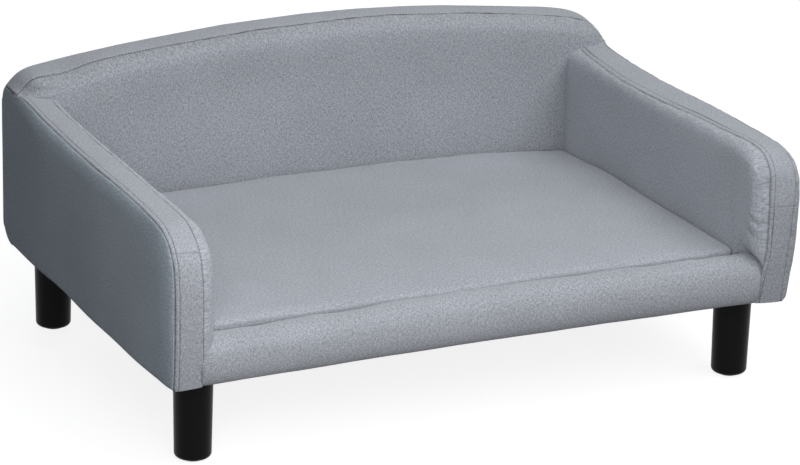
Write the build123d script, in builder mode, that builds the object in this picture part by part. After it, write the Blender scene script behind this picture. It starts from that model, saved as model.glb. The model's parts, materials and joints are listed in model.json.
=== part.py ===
from build123d import *
import os

# Dog sofa bed: a timber ladder frame with foam and sewn covers, a loose boxed cushion and four legs.
# Millimetres. Origin on the floor under the middle of the body, +X to the sofa's own left as seen
# from the front, +Y towards the backrest, +Z up. The front of the seat faces -Y.

# Overall size
width = 900.0
depth = 620.0
height = 400.0

# Legs: turned, slightly tapered, each on a nailed plastic glide
leg_height = 120.0
leg_top_radius = 26.0
leg_foot_radius = 24.2
leg_edge_radius = 6.0
leg_inset_side = 55.0
leg_inset_front = 62.0
leg_inset_rear = 51.0
glide_radius = 14.0
glide_thickness = 3.0
glide_edge = 0.8
glide_pin_radius = 1.5
glide_pin_length = 9.0

# Coverings and padding
fabric = 1.5
dust_sheet = 1.5
wadding = 4.5
rail_pad = 10.5
arm_top_pad = 18.0
back_top_pad = 14.5
seat_gap = 1.0
rest_gap = 0.3

# Timber and boards
stud = 30.0
rail_height = 39.5
front_board_thickness = 18.0
arm_rail_height = 22.0
arm_post_depth = 36.0
arch_rail_height = 32.0
fibreboard = 3.0
slat_thickness = 14.5
slat_width = 60.0
slat_offset = 130.0
ledger_width = 20.0
deck_thickness = 6.0
corner_block = 80.0

# Arms: the top sags a little between the front corner and the backrest
arm_thickness = 62.0
arm_step = 29.0
arm_front_dip = 4.5
arm_middle_dip = 8.0
arm_corner_radius = 46.0
arm_outer_round = 8.0
arm_inner_round = 14.0
arm_outer_seam = 8.0
arm_inner_seam = 47.0

# Backrest: an arch over the full width with round ends, and a rounded heel along its lower rear edge
back_thickness = 76.0
arch_rise = 39.0
back_corner_radius = 36.0
back_front_round = 25.0
back_rear_round = 4.0
back_seam = 47.0
heel_radius = 34.0

# Front rail: a padded roll between the arms
roll_depth = 48.0
roll_height = 58.0
roll_top_round = 21.0
roll_bottom_round = 8.0

# Loose cushion: boxed, with a crown, drawn-in sides and a zip along the rear border
cushion_crown = 17.0
cushion_lower_panel = 8.7
cushion_border = 17.0
cushion_upper_panel = 10.0
cushion_border_step = 4.0
cushion_draw_in = 5.0
cushion_corner_radius = 24.0
cushion_lower_round = 5.0
cushion_top_round = 7.0
seam_tuck = 3.0
crown_place_shares = (-1.0, -0.5, 0.0, 0.5, 1.0)
crown_rise_shares = (0.1, 0.78, 1.0, 0.78, 0.1)

# Zip: tape sewn flush into the border, a ridge of teeth and a slider with no tab
zip_margin = 77.0
zip_tape_height = 15.0
zip_teeth_height = 5.0
zip_teeth_rise = 1.0
zip_end = 8.0
slider_length = 12.0
slider_height = 9.0
slider_thickness = 2.6
slider_round = 1.2
slider_gap = 0.3

# Fasteners
leg_bolt_radius = 4.0
leg_bolt_grip = 26.0
tee_barrel_radius = 5.2
tee_barrel_length = 11.0
tee_flange_radius = 9.5
tee_flange_thickness = 1.5
joint_bolt_radius = 3.0
joint_bolt_head_radius = 5.5
joint_bolt_head_height = 4.0
joint_washer_radius = 7.5
joint_washer_thickness = 1.5
joint_counterbore_depth = 9.0
joint_hex_radius = 2.3
joint_hex_depth = 2.0
joint_height_shares = (0.26, 0.76)
screw_radius = 1.8
screw_head_radius = 4.0
screw_length = 17.0
screw_margin = 15.0
staple_crown = 10.0
staple_wire = 1.0
staple_leg = 7.0
staples_along_front = 9
staples_along_side = 5
fit_gap = 0.1

# One overrun for every cut and open end
overrun = 20.0

# Levels and faces worked out from the sizes above
half_width = width / 2
front = -depth / 2
rear = depth / 2
body_bottom = glide_thickness + leg_height
back_end_height = height - arch_rise
arm_rear_height = back_end_height - arm_step
arm_front_height = arm_rear_height - arm_front_dip
arm_middle_height = arm_rear_height - arm_middle_dip
arm_timber_top = arm_middle_height - arm_top_pad
timber_bottom = body_bottom + dust_sheet
rail_top = timber_bottom + rail_height
slat_top = timber_bottom + slat_thickness
deck_top = slat_top + deck_thickness
seat_side = half_width - arm_thickness
back_face = rear - back_thickness
timber_outer = half_width - fabric - wadding
stud_outer = timber_outer - fibreboard
stud_inner = stud_outer - stud
arm_board_inner = stud_inner - fibreboard
timber_front = front + fabric + rail_pad
front_board_back = timber_front + front_board_thickness
back_board_face = rear - fabric - wadding
stud_rear = back_board_face - fibreboard
stud_front = stud_rear - stud
back_board_front = stud_front - fibreboard
rear_panel_start = rear - back_rear_round
heel_y = rear - heel_radius
leg_x = half_width - leg_inset_side
leg_front_y = front + leg_inset_front
leg_rear_y = rear - leg_inset_rear
roll_back = front + roll_depth
pad_and_fabric = fabric + back_top_pad
post_top = back_end_height - pad_and_fabric - arch_rail_height
leg_places = [(x, y) for y in (leg_front_y, leg_rear_y) for x in (-leg_x, leg_x)]

# Ranges that the cutting blocks share
all_x = (-half_width - overrun, half_width + overrun)
all_y = (front - overrun, rear + overrun)
all_z = (body_bottom - overrun, height + overrun)
band_x = (half_width - arm_inner_seam, half_width - arm_outer_seam)

os.makedirs("parts", exist_ok=True)


def save(part, name):
    """Label a finished piece and write its STEP file."""
    part.label = name
    export_step(part, f"parts/{name}.step")


def save_pair(part, name):
    """Save a piece made for the +X side, and its mirror image for the other side."""
    save(part, f"{name}_right")
    with BuildPart() as other:
        mirror(part, about=Plane.YZ)
    save(other.part, f"{name}_left")


def block(xs, ys, zs, mode=Mode.ADD):
    """A box between two X, two Y and two Z places, in the part that is being built."""
    spans = [abs(b - a) for a, b in (xs, ys, zs)]
    with Locations(tuple((a + b) / 2 for a, b in (xs, ys, zs))):
        Box(*spans, mode=mode)


def heel_waste(rear_inset, low_inset):
    """What lies outside the round between the rear face and the underside, for these insets."""
    radius = heel_radius - rear_inset
    heel_z = body_bottom + low_inset + radius
    with BuildPart() as waste:
        with BuildSketch(Plane.YZ.offset(all_x[0])):
            with Locations((heel_y, heel_z)):
                Rectangle(all_y[1] - heel_y, heel_z - all_z[0], align=(Align.MIN, Align.MAX))
                Circle(radius, mode=Mode.SUBTRACT)
        extrude(amount=all_x[1] - all_x[0])
    return waste.part


def arm_outline(x, inset, open_end):
    """Side view of an arm, on the YZ plane at x: upright front, round corner, gently sagging top."""
    low = body_bottom - open_end
    rear_top = (rear_panel_start + open_end, arm_rear_height - inset)
    front_top = (front + inset, arm_front_height - inset)
    middle_top = ((front_top[0] + rear_top[0]) / 2, arm_middle_height - inset)
    with BuildSketch(Plane.YZ.offset(x)) as outline:
        with BuildLine():
            Polyline(rear_top, (rear_top[0], low), (front_top[0], low), front_top)
            ThreePointArc(front_top, middle_top, rear_top)
        make_face()
        corner = outline.vertices().sort_by(Axis.X)[:2].sort_by(Axis.Y)[-1]
        fillet(corner, radius=arm_corner_radius - inset)
    return outline.sketch


def arm_envelope(inset, open_end):
    """The right arm's full shape, its long edges rounded, less an even inset all round."""
    inner_x = seat_side + inset
    outer_x = half_width - inset
    outline = arm_outline(inner_x, inset, open_end)
    with BuildPart() as envelope:
        extrude(outline, amount=outer_x - inner_x)
        for face_index, radius in ((-1, arm_outer_round), (0, arm_inner_round)):
            face = envelope.faces().sort_by(Axis.X)[face_index]
            back = face.edges().sort_by(Axis.Y)[-1]
            low = face.edges().sort_by(Axis.Z)[0]
            rounded = [edge for edge in face.edges() if edge not in (back, low)]
            fillet(rounded, radius=radius - inset)
        add(heel_waste(inset, inset), mode=Mode.SUBTRACT)
    return envelope.part


def arch_outline(y, side_inset, top_inset, low, radius):
    """Front view of the backrest, on the XZ plane at y: an arch over upright ends, corners round."""
    x = half_width - side_inset
    with BuildSketch(Plane.XZ.offset(-y)) as outline:
        with BuildLine():
            Polyline((-x, back_end_height - top_inset), (-x, low), (x, low),
                     (x, back_end_height - top_inset))
            ThreePointArc((x, back_end_height - top_inset), (0, height - top_inset),
                          (-x, back_end_height - top_inset))
        make_face()
        if radius:
            fillet(outline.vertices().sort_by(Axis.Y)[-2:], radius=radius)
    return outline.sketch


def back_envelope(inset, open_end):
    """The backrest's full shape, with its top edges rounded, less an even inset all round."""
    low = body_bottom - open_end
    face_y = back_face + inset
    rear_y = rear - inset
    outline = arch_outline(rear_y, inset, inset, low, back_corner_radius - inset)
    with BuildPart() as envelope:
        extrude(outline, amount=rear_y - face_y)
        for face_index, radius in ((0, back_front_round), (-1, back_rear_round)):
            face = envelope.faces().sort_by(Axis.Y)[face_index]
            low_edge = face.edges().sort_by(Axis.Z)[0]
            rounded = [edge for edge in face.edges() if edge != low_edge]
            fillet(rounded, radius=radius - inset)
        add(heel_waste(inset, inset), mode=Mode.SUBTRACT)
    return envelope.part


# Outer shapes of the upholstery, the same shapes less the fabric, and the heel cut in the timber
arm_outside = arm_envelope(0, 0)
arm_inside = arm_envelope(fabric, overrun)
back_outside = back_envelope(0, 0)
back_inside = back_envelope(fabric, overrun)
timber_heel = heel_waste(fabric + wadding, dust_sheet)

# Glides: plastic discs, each with a pin that is driven into the foot above it
with BuildPart() as glides:
    with BuildSketch():
        with Locations(leg_places):
            Circle(glide_radius)
    extrude(amount=glide_thickness)
    fillet(glides.edges().group_by(Axis.Z)[0], radius=glide_edge)
    with BuildSketch(Plane.XY.offset(glide_thickness)):
        with Locations(leg_places):
            Circle(glide_pin_radius)
    extrude(amount=glide_pin_length)
save(glides.part, "glides")

# Legs: turned taper with a rounded foot, bored for the glide's pin and for the hanger bolt
for side, sign in (("left", -1), ("right", 1)):
    for end, leg_y in (("front", leg_front_y), ("rear", leg_rear_y)):
        leg_axis_x = sign * leg_x
        with BuildPart() as leg:
            with BuildSketch(Plane.XZ.offset(-leg_y)):
                with BuildLine():
                    Polyline((leg_axis_x, glide_thickness),
                             (leg_axis_x + leg_foot_radius, glide_thickness),
                             (leg_axis_x + leg_top_radius, body_bottom),
                             (leg_axis_x, body_bottom), close=True)
                make_face()
            revolve(axis=Axis((leg_axis_x, leg_y, 0), (0, 0, 1)))
            fillet(leg.edges().group_by(Axis.Z)[0], radius=leg_edge_radius)
            with Locations(leg.faces().sort_by(Axis.Z)[-1]):
                Hole(leg_bolt_radius + fit_gap, depth=leg_bolt_grip)
            with Locations(leg.faces().sort_by(Axis.Z)[0]):
                Hole(glide_pin_radius + fit_gap, depth=glide_pin_length)
        save(leg.part, f"leg_{end}_{side}")

# Hanger bolts: a stud half in the leg and half in the tee nut above it
bolt_low = body_bottom - leg_bolt_grip + fit_gap
with BuildPart() as leg_bolts:
    with BuildSketch(Plane.XY.offset(bolt_low)):
        with Locations(leg_places):
            Circle(leg_bolt_radius)
    extrude(amount=slat_top - tee_flange_thickness - bolt_low)
    chamfer(leg_bolts.edges().filter_by(GeomType.CIRCLE), length=glide_edge)
save(leg_bolts.part, "leg_bolts")

# Tee nuts: a flanged barrel sunk into the top of each corner block
with BuildPart() as leg_tee_nuts:
    with BuildSketch(Plane.XY.offset(slat_top - tee_flange_thickness)):
        with Locations(leg_places):
            Circle(tee_flange_radius)
    extrude(amount=tee_flange_thickness)
    with BuildSketch(Plane.XY.offset(slat_top - tee_barrel_length)):
        with Locations(leg_places):
            Circle(tee_barrel_radius)
    extrude(amount=tee_barrel_length)
    with BuildSketch(Plane.XY.offset(slat_top)):
        with Locations(leg_places):
            Circle(leg_bolt_radius + fit_gap)
    extrude(amount=-tee_barrel_length, mode=Mode.SUBTRACT)
save(leg_tee_nuts.part, "leg_tee_nuts")

# Staples: wire crowns under the dust sheet, their legs driven up into the timber
front_staple_y = (timber_front + front_board_back) / 2
rear_staple_y = (stud_front + heel_y) / 2
side_staple_x = (stud_inner + stud_outer) / 2
front_pitch = 2 * (stud_inner - corner_block) / (staples_along_front - 1)
side_pitch = (stud_front - front_board_back) / (staples_along_side + 1)
with BuildPart() as staples:
    with BuildSketch(Plane.XY.offset(body_bottom - staple_wire)):
        with Locations((0, front_staple_y), (0, rear_staple_y)):
            with GridLocations(front_pitch, 0, staples_along_front, 1):
                Rectangle(staple_crown, staple_wire)
        with Locations((-side_staple_x, 0), (side_staple_x, 0)):
            with GridLocations(0, side_pitch, 1, staples_along_side):
                Rectangle(staple_wire, staple_crown)
    extrude(amount=staple_wire)
    with BuildSketch(Plane.XY.offset(body_bottom)):
        with Locations((0, front_staple_y), (0, rear_staple_y)):
            with GridLocations(front_pitch, 0, staples_along_front, 1):
                with GridLocations(staple_crown - staple_wire, 0, 2, 1):
                    Rectangle(staple_wire, staple_wire)
        with Locations((-side_staple_x, 0), (side_staple_x, 0)):
            with GridLocations(0, side_pitch, 1, staples_along_side):
                with GridLocations(0, staple_crown - staple_wire, 1, 2):
                    Rectangle(staple_wire, staple_wire)
    extrude(amount=staple_leg)
save(staples.part, "dust_sheet_staples")

# Dust sheet: black non-woven cloth that closes the underside, pierced for the leg bolts
with BuildPart() as dust_cloth:
    block((-stud_outer, stud_outer), (timber_front, heel_y), (body_bottom, timber_bottom))
    with BuildSketch(Plane.XY.offset(body_bottom)):
        with Locations(leg_places):
            Circle(tee_barrel_radius)
    extrude(amount=dust_sheet, mode=Mode.SUBTRACT)
    add(staples.part, mode=Mode.SUBTRACT)
save(dust_cloth.part, "dust_sheet")

# Base: side rails the full depth, with the front board and the rear rail between them
with BuildPart() as side_rail:
    block((stud_inner, stud_outer), (timber_front, stud_rear), (timber_bottom, rail_top))
    add(timber_heel, mode=Mode.SUBTRACT)
    add(staples.part, mode=Mode.SUBTRACT)
save_pair(side_rail.part, "side_rail")

with BuildPart() as front_board:
    block((-stud_inner, stud_inner), (timber_front, front_board_back), (timber_bottom, rail_top))
    add(staples.part, mode=Mode.SUBTRACT)
save(front_board.part, "front_board")

with BuildPart() as rear_rail:
    block((-stud_inner, stud_inner), (stud_front, stud_rear), (timber_bottom, rail_top))
    add(timber_heel, mode=Mode.SUBTRACT)
    add(staples.part, mode=Mode.SUBTRACT)
save(rear_rail.part, "rear_rail")

# Screws that hold the deck: two in each slat, one in each corner block
slat_screw_y = (stud_front - front_board_back) / 2 - corner_block / 2
deck_middle_y = (stud_front + front_board_back) / 2
block_screw_x = stud_inner - corner_block + screw_margin
screw_places = [(sx * x, deck_middle_y + sy * slat_screw_y)
                for x in (slat_offset, block_screw_x) for sx in (-1, 1) for sy in (-1, 1)]
with BuildPart() as deck_screws:
    for low, high, low_radius, high_radius in (
            (deck_top - screw_length, deck_top, screw_radius, screw_radius),
            (deck_top - screw_head_radius + screw_radius, deck_top, screw_radius, screw_head_radius)):
        with Locations([(x, y, (low + high) / 2) for x, y in screw_places]):
            if low_radius == high_radius:
                Cylinder(low_radius, high - low)
            else:
                Cone(low_radius, high_radius, high - low)
save(deck_screws.part, "deck_screws")


def screw_holes():
    """Holes for the deck screws through whatever lies under or around them."""
    with Locations([(x, y, deck_top - screw_length / 2) for x, y in screw_places]):
        Cylinder(screw_radius + fit_gap, screw_length + fit_gap, mode=Mode.SUBTRACT)


# Corner blocks, bored and counterbored for the tee nuts
with BuildPart() as corner_blocks:
    for sign in (-1, 1):
        for near_y in (front_board_back, stud_front - corner_block):
            block((sign * (stud_inner - corner_block), sign * stud_inner),
                  (near_y, near_y + corner_block), (timber_bottom, slat_top))
    with Locations([(x, y, slat_top) for x, y in leg_places]):
        CounterBoreHole(tee_barrel_radius + fit_gap, tee_flange_radius + fit_gap, tee_flange_thickness)
    screw_holes()
save(corner_blocks.part, "corner_blocks")

# Slats under the deck from front to back, and ledgers along the side rails
with BuildPart() as deck_slats:
    for sign in (-1, 1):
        block((sign * (slat_offset - slat_width / 2), sign * (slat_offset + slat_width / 2)),
              (front_board_back, stud_front), (timber_bottom, slat_top))
        block((sign * (stud_inner - ledger_width), sign * stud_inner),
              (front_board_back + corner_block, stud_front - corner_block), (timber_bottom, slat_top))
    screw_holes()
save(deck_slats.part, "deck_slats")

# Deck: a thin plywood sheet countersunk for its screws
with BuildPart() as deck:
    block((-stud_inner, stud_inner), (front_board_back, stud_front), (slat_top, deck_top))
    screw_holes()
    cone_height = screw_head_radius - screw_radius
    with Locations([(x, y, deck_top - cone_height / 2) for x, y in screw_places]):
        Cone(screw_radius + fit_gap, screw_head_radius + fit_gap, cone_height, mode=Mode.SUBTRACT)
save(deck.part, "seat_deck")

# Arm timber: front post with a round shoulder, rear post, top rail, two fibreboard faces
timber_corner = arm_corner_radius - fabric - rail_pad
arm_post_back = timber_front + arm_post_depth
arm_rail_low = arm_timber_top - arm_rail_height
with BuildPart() as arm_front_posts:
    for sign in (-1, 1):
        block((sign * stud_inner, sign * stud_outer), (timber_front, arm_post_back),
              (rail_top, arm_timber_top))
    top_edges = arm_front_posts.edges().filter_by(Axis.X).group_by(Axis.Z)[-1]
    fillet(top_edges.group_by(Axis.Y)[0], radius=timber_corner)
save(arm_front_posts.part, "arm_front_posts")

with BuildPart() as arm_top_rail:
    block((stud_inner, stud_outer), (arm_post_back, stud_front), (arm_rail_low, arm_timber_top))
save_pair(arm_top_rail.part, "arm_top_rail")

with BuildPart() as arm_outer_board:
    block((stud_outer, timber_outer), (timber_front, stud_rear), (timber_bottom, arm_timber_top))
    top_front = arm_outer_board.edges().filter_by(Axis.X).group_by(Axis.Z)[-1].sort_by(Axis.Y)[0]
    fillet(top_front, radius=timber_corner)
    add(timber_heel, mode=Mode.SUBTRACT)
save_pair(arm_outer_board.part, "arm_outer_board")

with BuildPart() as arm_inner_board:
    block((arm_board_inner, stud_inner), (front_board_back, back_board_front), (deck_top, arm_timber_top))
    block((arm_board_inner, stud_inner), (timber_front, front_board_back), (rail_top, arm_timber_top))
    top_front = arm_inner_board.edges().filter_by(Axis.X).group_by(Axis.Z)[-1].sort_by(Axis.Y)[0]
    fillet(top_front, radius=timber_corner)
save_pair(arm_inner_board.part, "arm_inner_board")

# Bolts that tie each arm's rear post to the backrest's end post
joint_x = (stud_inner + stud_outer) / 2
joint_front_y = stud_front - stud
joint_head_y = stud_rear - joint_counterbore_depth
joint_places = [(sign * joint_x, rail_top + share * (arm_rail_low - rail_top))
                for sign in (-1, 1) for share in joint_height_shares]
joint_plane = Plane.XZ.offset(-joint_head_y)
with BuildPart() as joint_washers:
    with BuildSketch(joint_plane):
        with Locations(joint_places):
            Circle(joint_washer_radius)
            Circle(joint_bolt_radius + fit_gap, mode=Mode.SUBTRACT)
    extrude(amount=-joint_washer_thickness)
save(joint_washers.part, "joint_washers")

with BuildPart() as joint_bolts:
    with BuildSketch(joint_plane):
        with Locations(joint_places):
            Circle(joint_bolt_radius)
    extrude(amount=joint_head_y - joint_front_y)
    extrude(joint_bolts.faces().sort_by(Axis.Y)[-len(joint_places):], amount=joint_washer_thickness)
    with BuildSketch(joint_plane.offset(-joint_washer_thickness)):
        with Locations(joint_places):
            Circle(joint_bolt_head_radius)
    extrude(amount=-joint_bolt_head_height)
    with BuildSketch(joint_plane.offset(-joint_washer_thickness - joint_bolt_head_height)):
        with Locations(joint_places):
            RegularPolygon(joint_hex_radius, 6)
    extrude(amount=joint_hex_depth, mode=Mode.SUBTRACT)
save(joint_bolts.part, "joint_bolts")

with BuildPart() as joint_tee_nuts:
    with BuildSketch(Plane.XZ.offset(-joint_front_y)):
        with Locations(joint_places):
            Circle(tee_flange_radius)
    extrude(amount=tee_flange_thickness)
    with BuildSketch(Plane.XZ.offset(-joint_front_y)):
        with Locations(joint_places):
            Circle(tee_barrel_radius)
    extrude(amount=-tee_barrel_length)
    with BuildSketch(Plane.XZ.offset(-joint_front_y)):
        with Locations(joint_places):
            Circle(joint_bolt_radius + fit_gap)
    extrude(amount=overrun, both=True, mode=Mode.SUBTRACT)
save(joint_tee_nuts.part, "joint_tee_nuts")


def joint_holes():
    """Bores for the joint bolts, wide at the head's end and at the tee nut's end."""
    for start, length, radius in (
            (joint_front_y, stud_rear - joint_front_y, joint_bolt_radius + fit_gap),
            (joint_front_y, tee_barrel_length, tee_barrel_radius + fit_gap),
            (joint_head_y, joint_counterbore_depth, joint_washer_radius + fit_gap)):
        with Locations([(x, start + length / 2, z) for x, z in joint_places]):
            Cylinder(radius, length, rotation=(90, 0, 0), mode=Mode.SUBTRACT)


with BuildPart() as arm_rear_posts:
    for sign in (-1, 1):
        block((sign * stud_inner, sign * stud_outer), (joint_front_y, stud_front),
              (rail_top, arm_rail_low))
    joint_holes()
save(arm_rear_posts.part, "arm_rear_posts")

# Backrest timber: arched top rail on end posts and a centre post, arched fibreboard faces
side_margin = half_width - stud_outer
arch_corner = back_corner_radius - pad_and_fabric
rail_outline = arch_outline(stud_rear, side_margin, pad_and_fabric, post_top, arch_corner)
under_rail = arch_outline(stud_rear, side_margin, pad_and_fabric + arch_rail_height, rail_top, 0)
with BuildPart() as back_arch_rail:
    extrude(rail_outline, amount=stud)
    extrude(under_rail, amount=stud, mode=Mode.SUBTRACT)
save(back_arch_rail.part, "back_arch_rail")

with BuildPart() as back_posts:
    for sign in (-1, 1):
        block((sign * stud_inner, sign * stud_outer), (stud_front, stud_rear),
              (rail_top, post_top + arch_rail_height / 2))
    add(back_arch_rail.part, mode=Mode.SUBTRACT)
    joint_holes()
save(back_posts.part, "back_posts")

with BuildPart() as back_centre_post:
    block((-stud / 2, stud / 2), (stud_front, stud_rear),
          (rail_top, height - pad_and_fabric - arch_rail_height / 2))
    add(back_arch_rail.part, mode=Mode.SUBTRACT)
save(back_centre_post.part, "back_centre_post")

front_outline = arch_outline(stud_front, side_margin, pad_and_fabric, deck_top, arch_corner)
with BuildPart() as back_front_board:
    extrude(front_outline, amount=fibreboard)
    for sign in (-1, 1):
        block((sign * arm_board_inner, sign * half_width), (back_board_front, stud_front),
              (deck_top, arm_rear_height), mode=Mode.SUBTRACT)
save(back_front_board.part, "back_front_board")

board_margin = half_width - timber_outer
rear_outline = arch_outline(back_board_face, board_margin, pad_and_fabric, timber_bottom, arch_corner)
with BuildPart() as back_rear_board:
    extrude(rear_outline, amount=fibreboard)
    add(timber_heel, mode=Mode.SUBTRACT)
save(back_rear_board.part, "back_rear_board")

# Arm padding: wadding outside, foam on top and round the front, a thicker pad inside
with BuildPart() as arm_wadding:
    add(arm_inside)
    block((timber_outer, half_width), (all_y[0], back_board_face), (timber_bottom, all_z[1]),
          mode=Mode.INTERSECT)
save_pair(arm_wadding.part, "arm_wadding")

with BuildPart() as arm_front_foam:
    add(arm_inside)
    block((arm_board_inner, timber_outer), (all_y[0], arm_post_back), (timber_bottom, all_z[1]),
          mode=Mode.INTERSECT)
    with BuildSketch(Plane.YZ.offset(arm_board_inner)):
        with BuildLine():
            Polyline((timber_front, timber_bottom), (arm_post_back, timber_bottom),
                     (arm_post_back, arm_timber_top), (timber_front + timber_corner, arm_timber_top))
            RadiusArc((timber_front + timber_corner, arm_timber_top),
                      (timber_front, arm_timber_top - timber_corner), -timber_corner)
            Line((timber_front, arm_timber_top - timber_corner), (timber_front, timber_bottom))
        make_face()
    extrude(amount=timber_outer - arm_board_inner, mode=Mode.SUBTRACT)
save_pair(arm_front_foam.part, "arm_front_foam")

with BuildPart() as arm_top_foam:
    add(arm_inside)
    block((arm_board_inner, timber_outer), (arm_post_back, stud_front),
          (arm_timber_top, all_z[1]), mode=Mode.INTERSECT)
save_pair(arm_top_foam.part, "arm_top_foam")

with BuildPart() as arm_inner_foam:
    add(arm_inside)
    block((seat_side, arm_board_inner), (all_y[0], back_board_front), (timber_bottom, all_z[1]),
          mode=Mode.INTERSECT)
    block((seat_side, arm_board_inner), (timber_front, all_y[1]), (all_z[0], deck_top),
          mode=Mode.SUBTRACT)
    block((seat_side, arm_board_inner), (timber_front, front_board_back), (all_z[0], rail_top),
          mode=Mode.SUBTRACT)
save_pair(arm_inner_foam.part, "arm_inner_foam")

# Arm covers: side panel, band over the front and top, and inner panel, sewn edge to edge
with BuildPart() as arm_shell:
    add(arm_outside)
    add(arm_inside, mode=Mode.SUBTRACT)

with BuildPart() as side_panel_tail:
    add(arm_outside)
    block((half_width - fabric, all_x[1]), (stud_rear, all_y[1]), all_z, mode=Mode.INTERSECT)

with BuildPart() as side_panel:
    add(arm_shell.part)
    block((band_x[1], all_x[1]), (all_y[0], stud_rear), all_z, mode=Mode.INTERSECT)
    add(side_panel_tail.part)
save_pair(side_panel.part, "side_cover")

with BuildPart() as arm_band:
    add(arm_shell.part)
    block(band_x, (all_y[0], back_face - rest_gap), all_z, mode=Mode.INTERSECT)
save_pair(arm_band.part, "arm_band")

with BuildPart() as arm_inner_panel:
    add(arm_shell.part)
    block((all_x[0], band_x[0]), (all_y[0], back_face - rest_gap), all_z, mode=Mode.INTERSECT)
    block((seat_side - overrun, band_x[0]), (timber_front, all_y[1]), (all_z[0], deck_top),
          mode=Mode.SUBTRACT)
    block((seat_side - overrun, band_x[0]), (timber_front, front_board_back), (all_z[0], rail_top),
          mode=Mode.SUBTRACT)
save_pair(arm_inner_panel.part, "arm_inner_cover")


def clear_arms():
    """Cut the arms' room, up to their rear height, out of a backrest piece."""
    for sign in (-1, 1):
        block((sign * seat_side, sign * all_x[1]), (back_face - overrun, rear_panel_start),
              (all_z[0], arm_rear_height), mode=Mode.SUBTRACT)


# Backrest padding: deep foam in front, a strip over the arch, wadding behind
with BuildPart() as back_front_foam:
    add(back_inside)
    block(all_x, (all_y[0], back_board_front), (deck_top, all_z[1]), mode=Mode.INTERSECT)
    clear_arms()
save(back_front_foam.part, "back_front_foam")

boards_outline = arch_outline(back_board_face, board_margin, pad_and_fabric, all_z[0], arch_corner)
with BuildPart() as back_top_foam:
    add(back_inside)
    block(all_x, (back_board_front, back_board_face), (timber_bottom, all_z[1]), mode=Mode.INTERSECT)
    extrude(boards_outline, amount=back_board_face - back_board_front, mode=Mode.SUBTRACT)
    clear_arms()
save(back_top_foam.part, "back_top_foam")

with BuildPart() as back_wadding:
    add(back_inside)
    block(all_x, (back_board_face, rear), (timber_bottom, all_z[1]), mode=Mode.INTERSECT)
save(back_wadding.part, "back_wadding")

# Backrest covers: front panel, band over the arch, rear panel
with BuildPart() as back_shell:
    add(back_outside)
    add(back_inside, mode=Mode.SUBTRACT)

with BuildPart() as back_front_cover:
    add(back_shell.part)
    block(all_x, (all_y[0], rear - back_seam), (deck_top, all_z[1]), mode=Mode.INTERSECT)
    clear_arms()
save(back_front_cover.part, "back_front_cover")

with BuildPart() as back_band:
    add(back_shell.part)
    block(all_x, (rear - back_seam, rear_panel_start), (arm_rear_height, all_z[1]),
          mode=Mode.INTERSECT)
save(back_band.part, "back_band")

with BuildPart() as heel_wrap:
    add(back_shell.part)
    block((-band_x[1], band_x[1]), (heel_y, rear_panel_start),
          (all_z[0], body_bottom + heel_radius), mode=Mode.INTERSECT)

with BuildPart() as back_rear_cover:
    add(back_shell.part)
    block(all_x, (rear_panel_start, all_y[1]), all_z, mode=Mode.INTERSECT)
    add(heel_wrap.part)
save(back_rear_cover.part, "back_rear_cover")


def roll_envelope(inset, open_end):
    """The front rail's padded roll, running between the arm bands' inner seams."""
    low = body_bottom - open_end
    high = body_bottom + roll_height - inset
    half_length = half_width - arm_inner_seam
    with BuildPart() as envelope:
        block((-half_length, half_length), (front + inset, roll_back - inset), (low, high))
        upper = envelope.edges().filter_by(Axis.X).group_by(Axis.Z)[-1]
        fillet(upper, radius=roll_top_round - inset)
        if not open_end:
            lower = envelope.edges().filter_by(Axis.X).group_by(Axis.Z)[0]
            fillet(lower.sort_by(Axis.Y)[0], radius=roll_bottom_round)
    return envelope.part


# Front rail: foam roll over the board, under its own cover
roll_outside = roll_envelope(0, 0)
roll_inside = roll_envelope(fabric, overrun)
with BuildPart() as rail_foam:
    add(roll_outside)
    add(roll_inside, mode=Mode.INTERSECT)
    block(all_x, all_y, (timber_bottom, all_z[1]), mode=Mode.INTERSECT)
    block(all_x, (timber_front, front_board_back), (all_z[0], rail_top), mode=Mode.SUBTRACT)
    block(all_x, (front_board_back, all_y[1]), (all_z[0], deck_top), mode=Mode.SUBTRACT)
    block((-seat_side, seat_side), all_y, all_z, mode=Mode.INTERSECT)
save(rail_foam.part, "rail_foam")

with BuildPart() as rail_cover:
    add(roll_outside)
    add(roll_inside, mode=Mode.SUBTRACT)
    block(all_x, (front_board_back, all_y[1]), (all_z[0], deck_top), mode=Mode.SUBTRACT)
    for sign in (-1, 1):
        add(arm_outside if sign > 0 else mirror(arm_outside, about=Plane.YZ, mode=Mode.PRIVATE),
            mode=Mode.SUBTRACT)
save(rail_cover.part, "rail_cover")

# Cushion levels
cushion_low = deck_top + rest_gap
border_low = cushion_low + cushion_lower_panel
border_high = border_low + cushion_border
crown_low = border_high + cushion_upper_panel
cushion_half_x = seat_side - seat_gap
cushion_front = roll_back + seat_gap
cushion_rear = back_face - seat_gap
cushion_middle_y = (cushion_front + cushion_rear) / 2
cushion_half_y = (cushion_rear - cushion_front) / 2


def cushion_outline(level, inset):
    """Plan of the cushion at one height: sides and front drawn in, rear straight, round corners."""
    x = cushion_half_x - inset
    near = cushion_middle_y - cushion_half_y + inset
    far = cushion_middle_y + cushion_half_y - inset
    with BuildSketch(Plane.XY.offset(level)) as outline:
        with BuildLine():
            ThreePointArc((-x, near), (0, near + cushion_draw_in), (x, near))
            ThreePointArc((x, near), (x - cushion_draw_in, cushion_middle_y), (x, far))
            Line((x, far), (-x, far))
            ThreePointArc((-x, far), (cushion_draw_in - x, cushion_middle_y), (-x, near))
        make_face()
        fillet(outline.vertices(), radius=cushion_corner_radius)
    return outline.sketch


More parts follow.
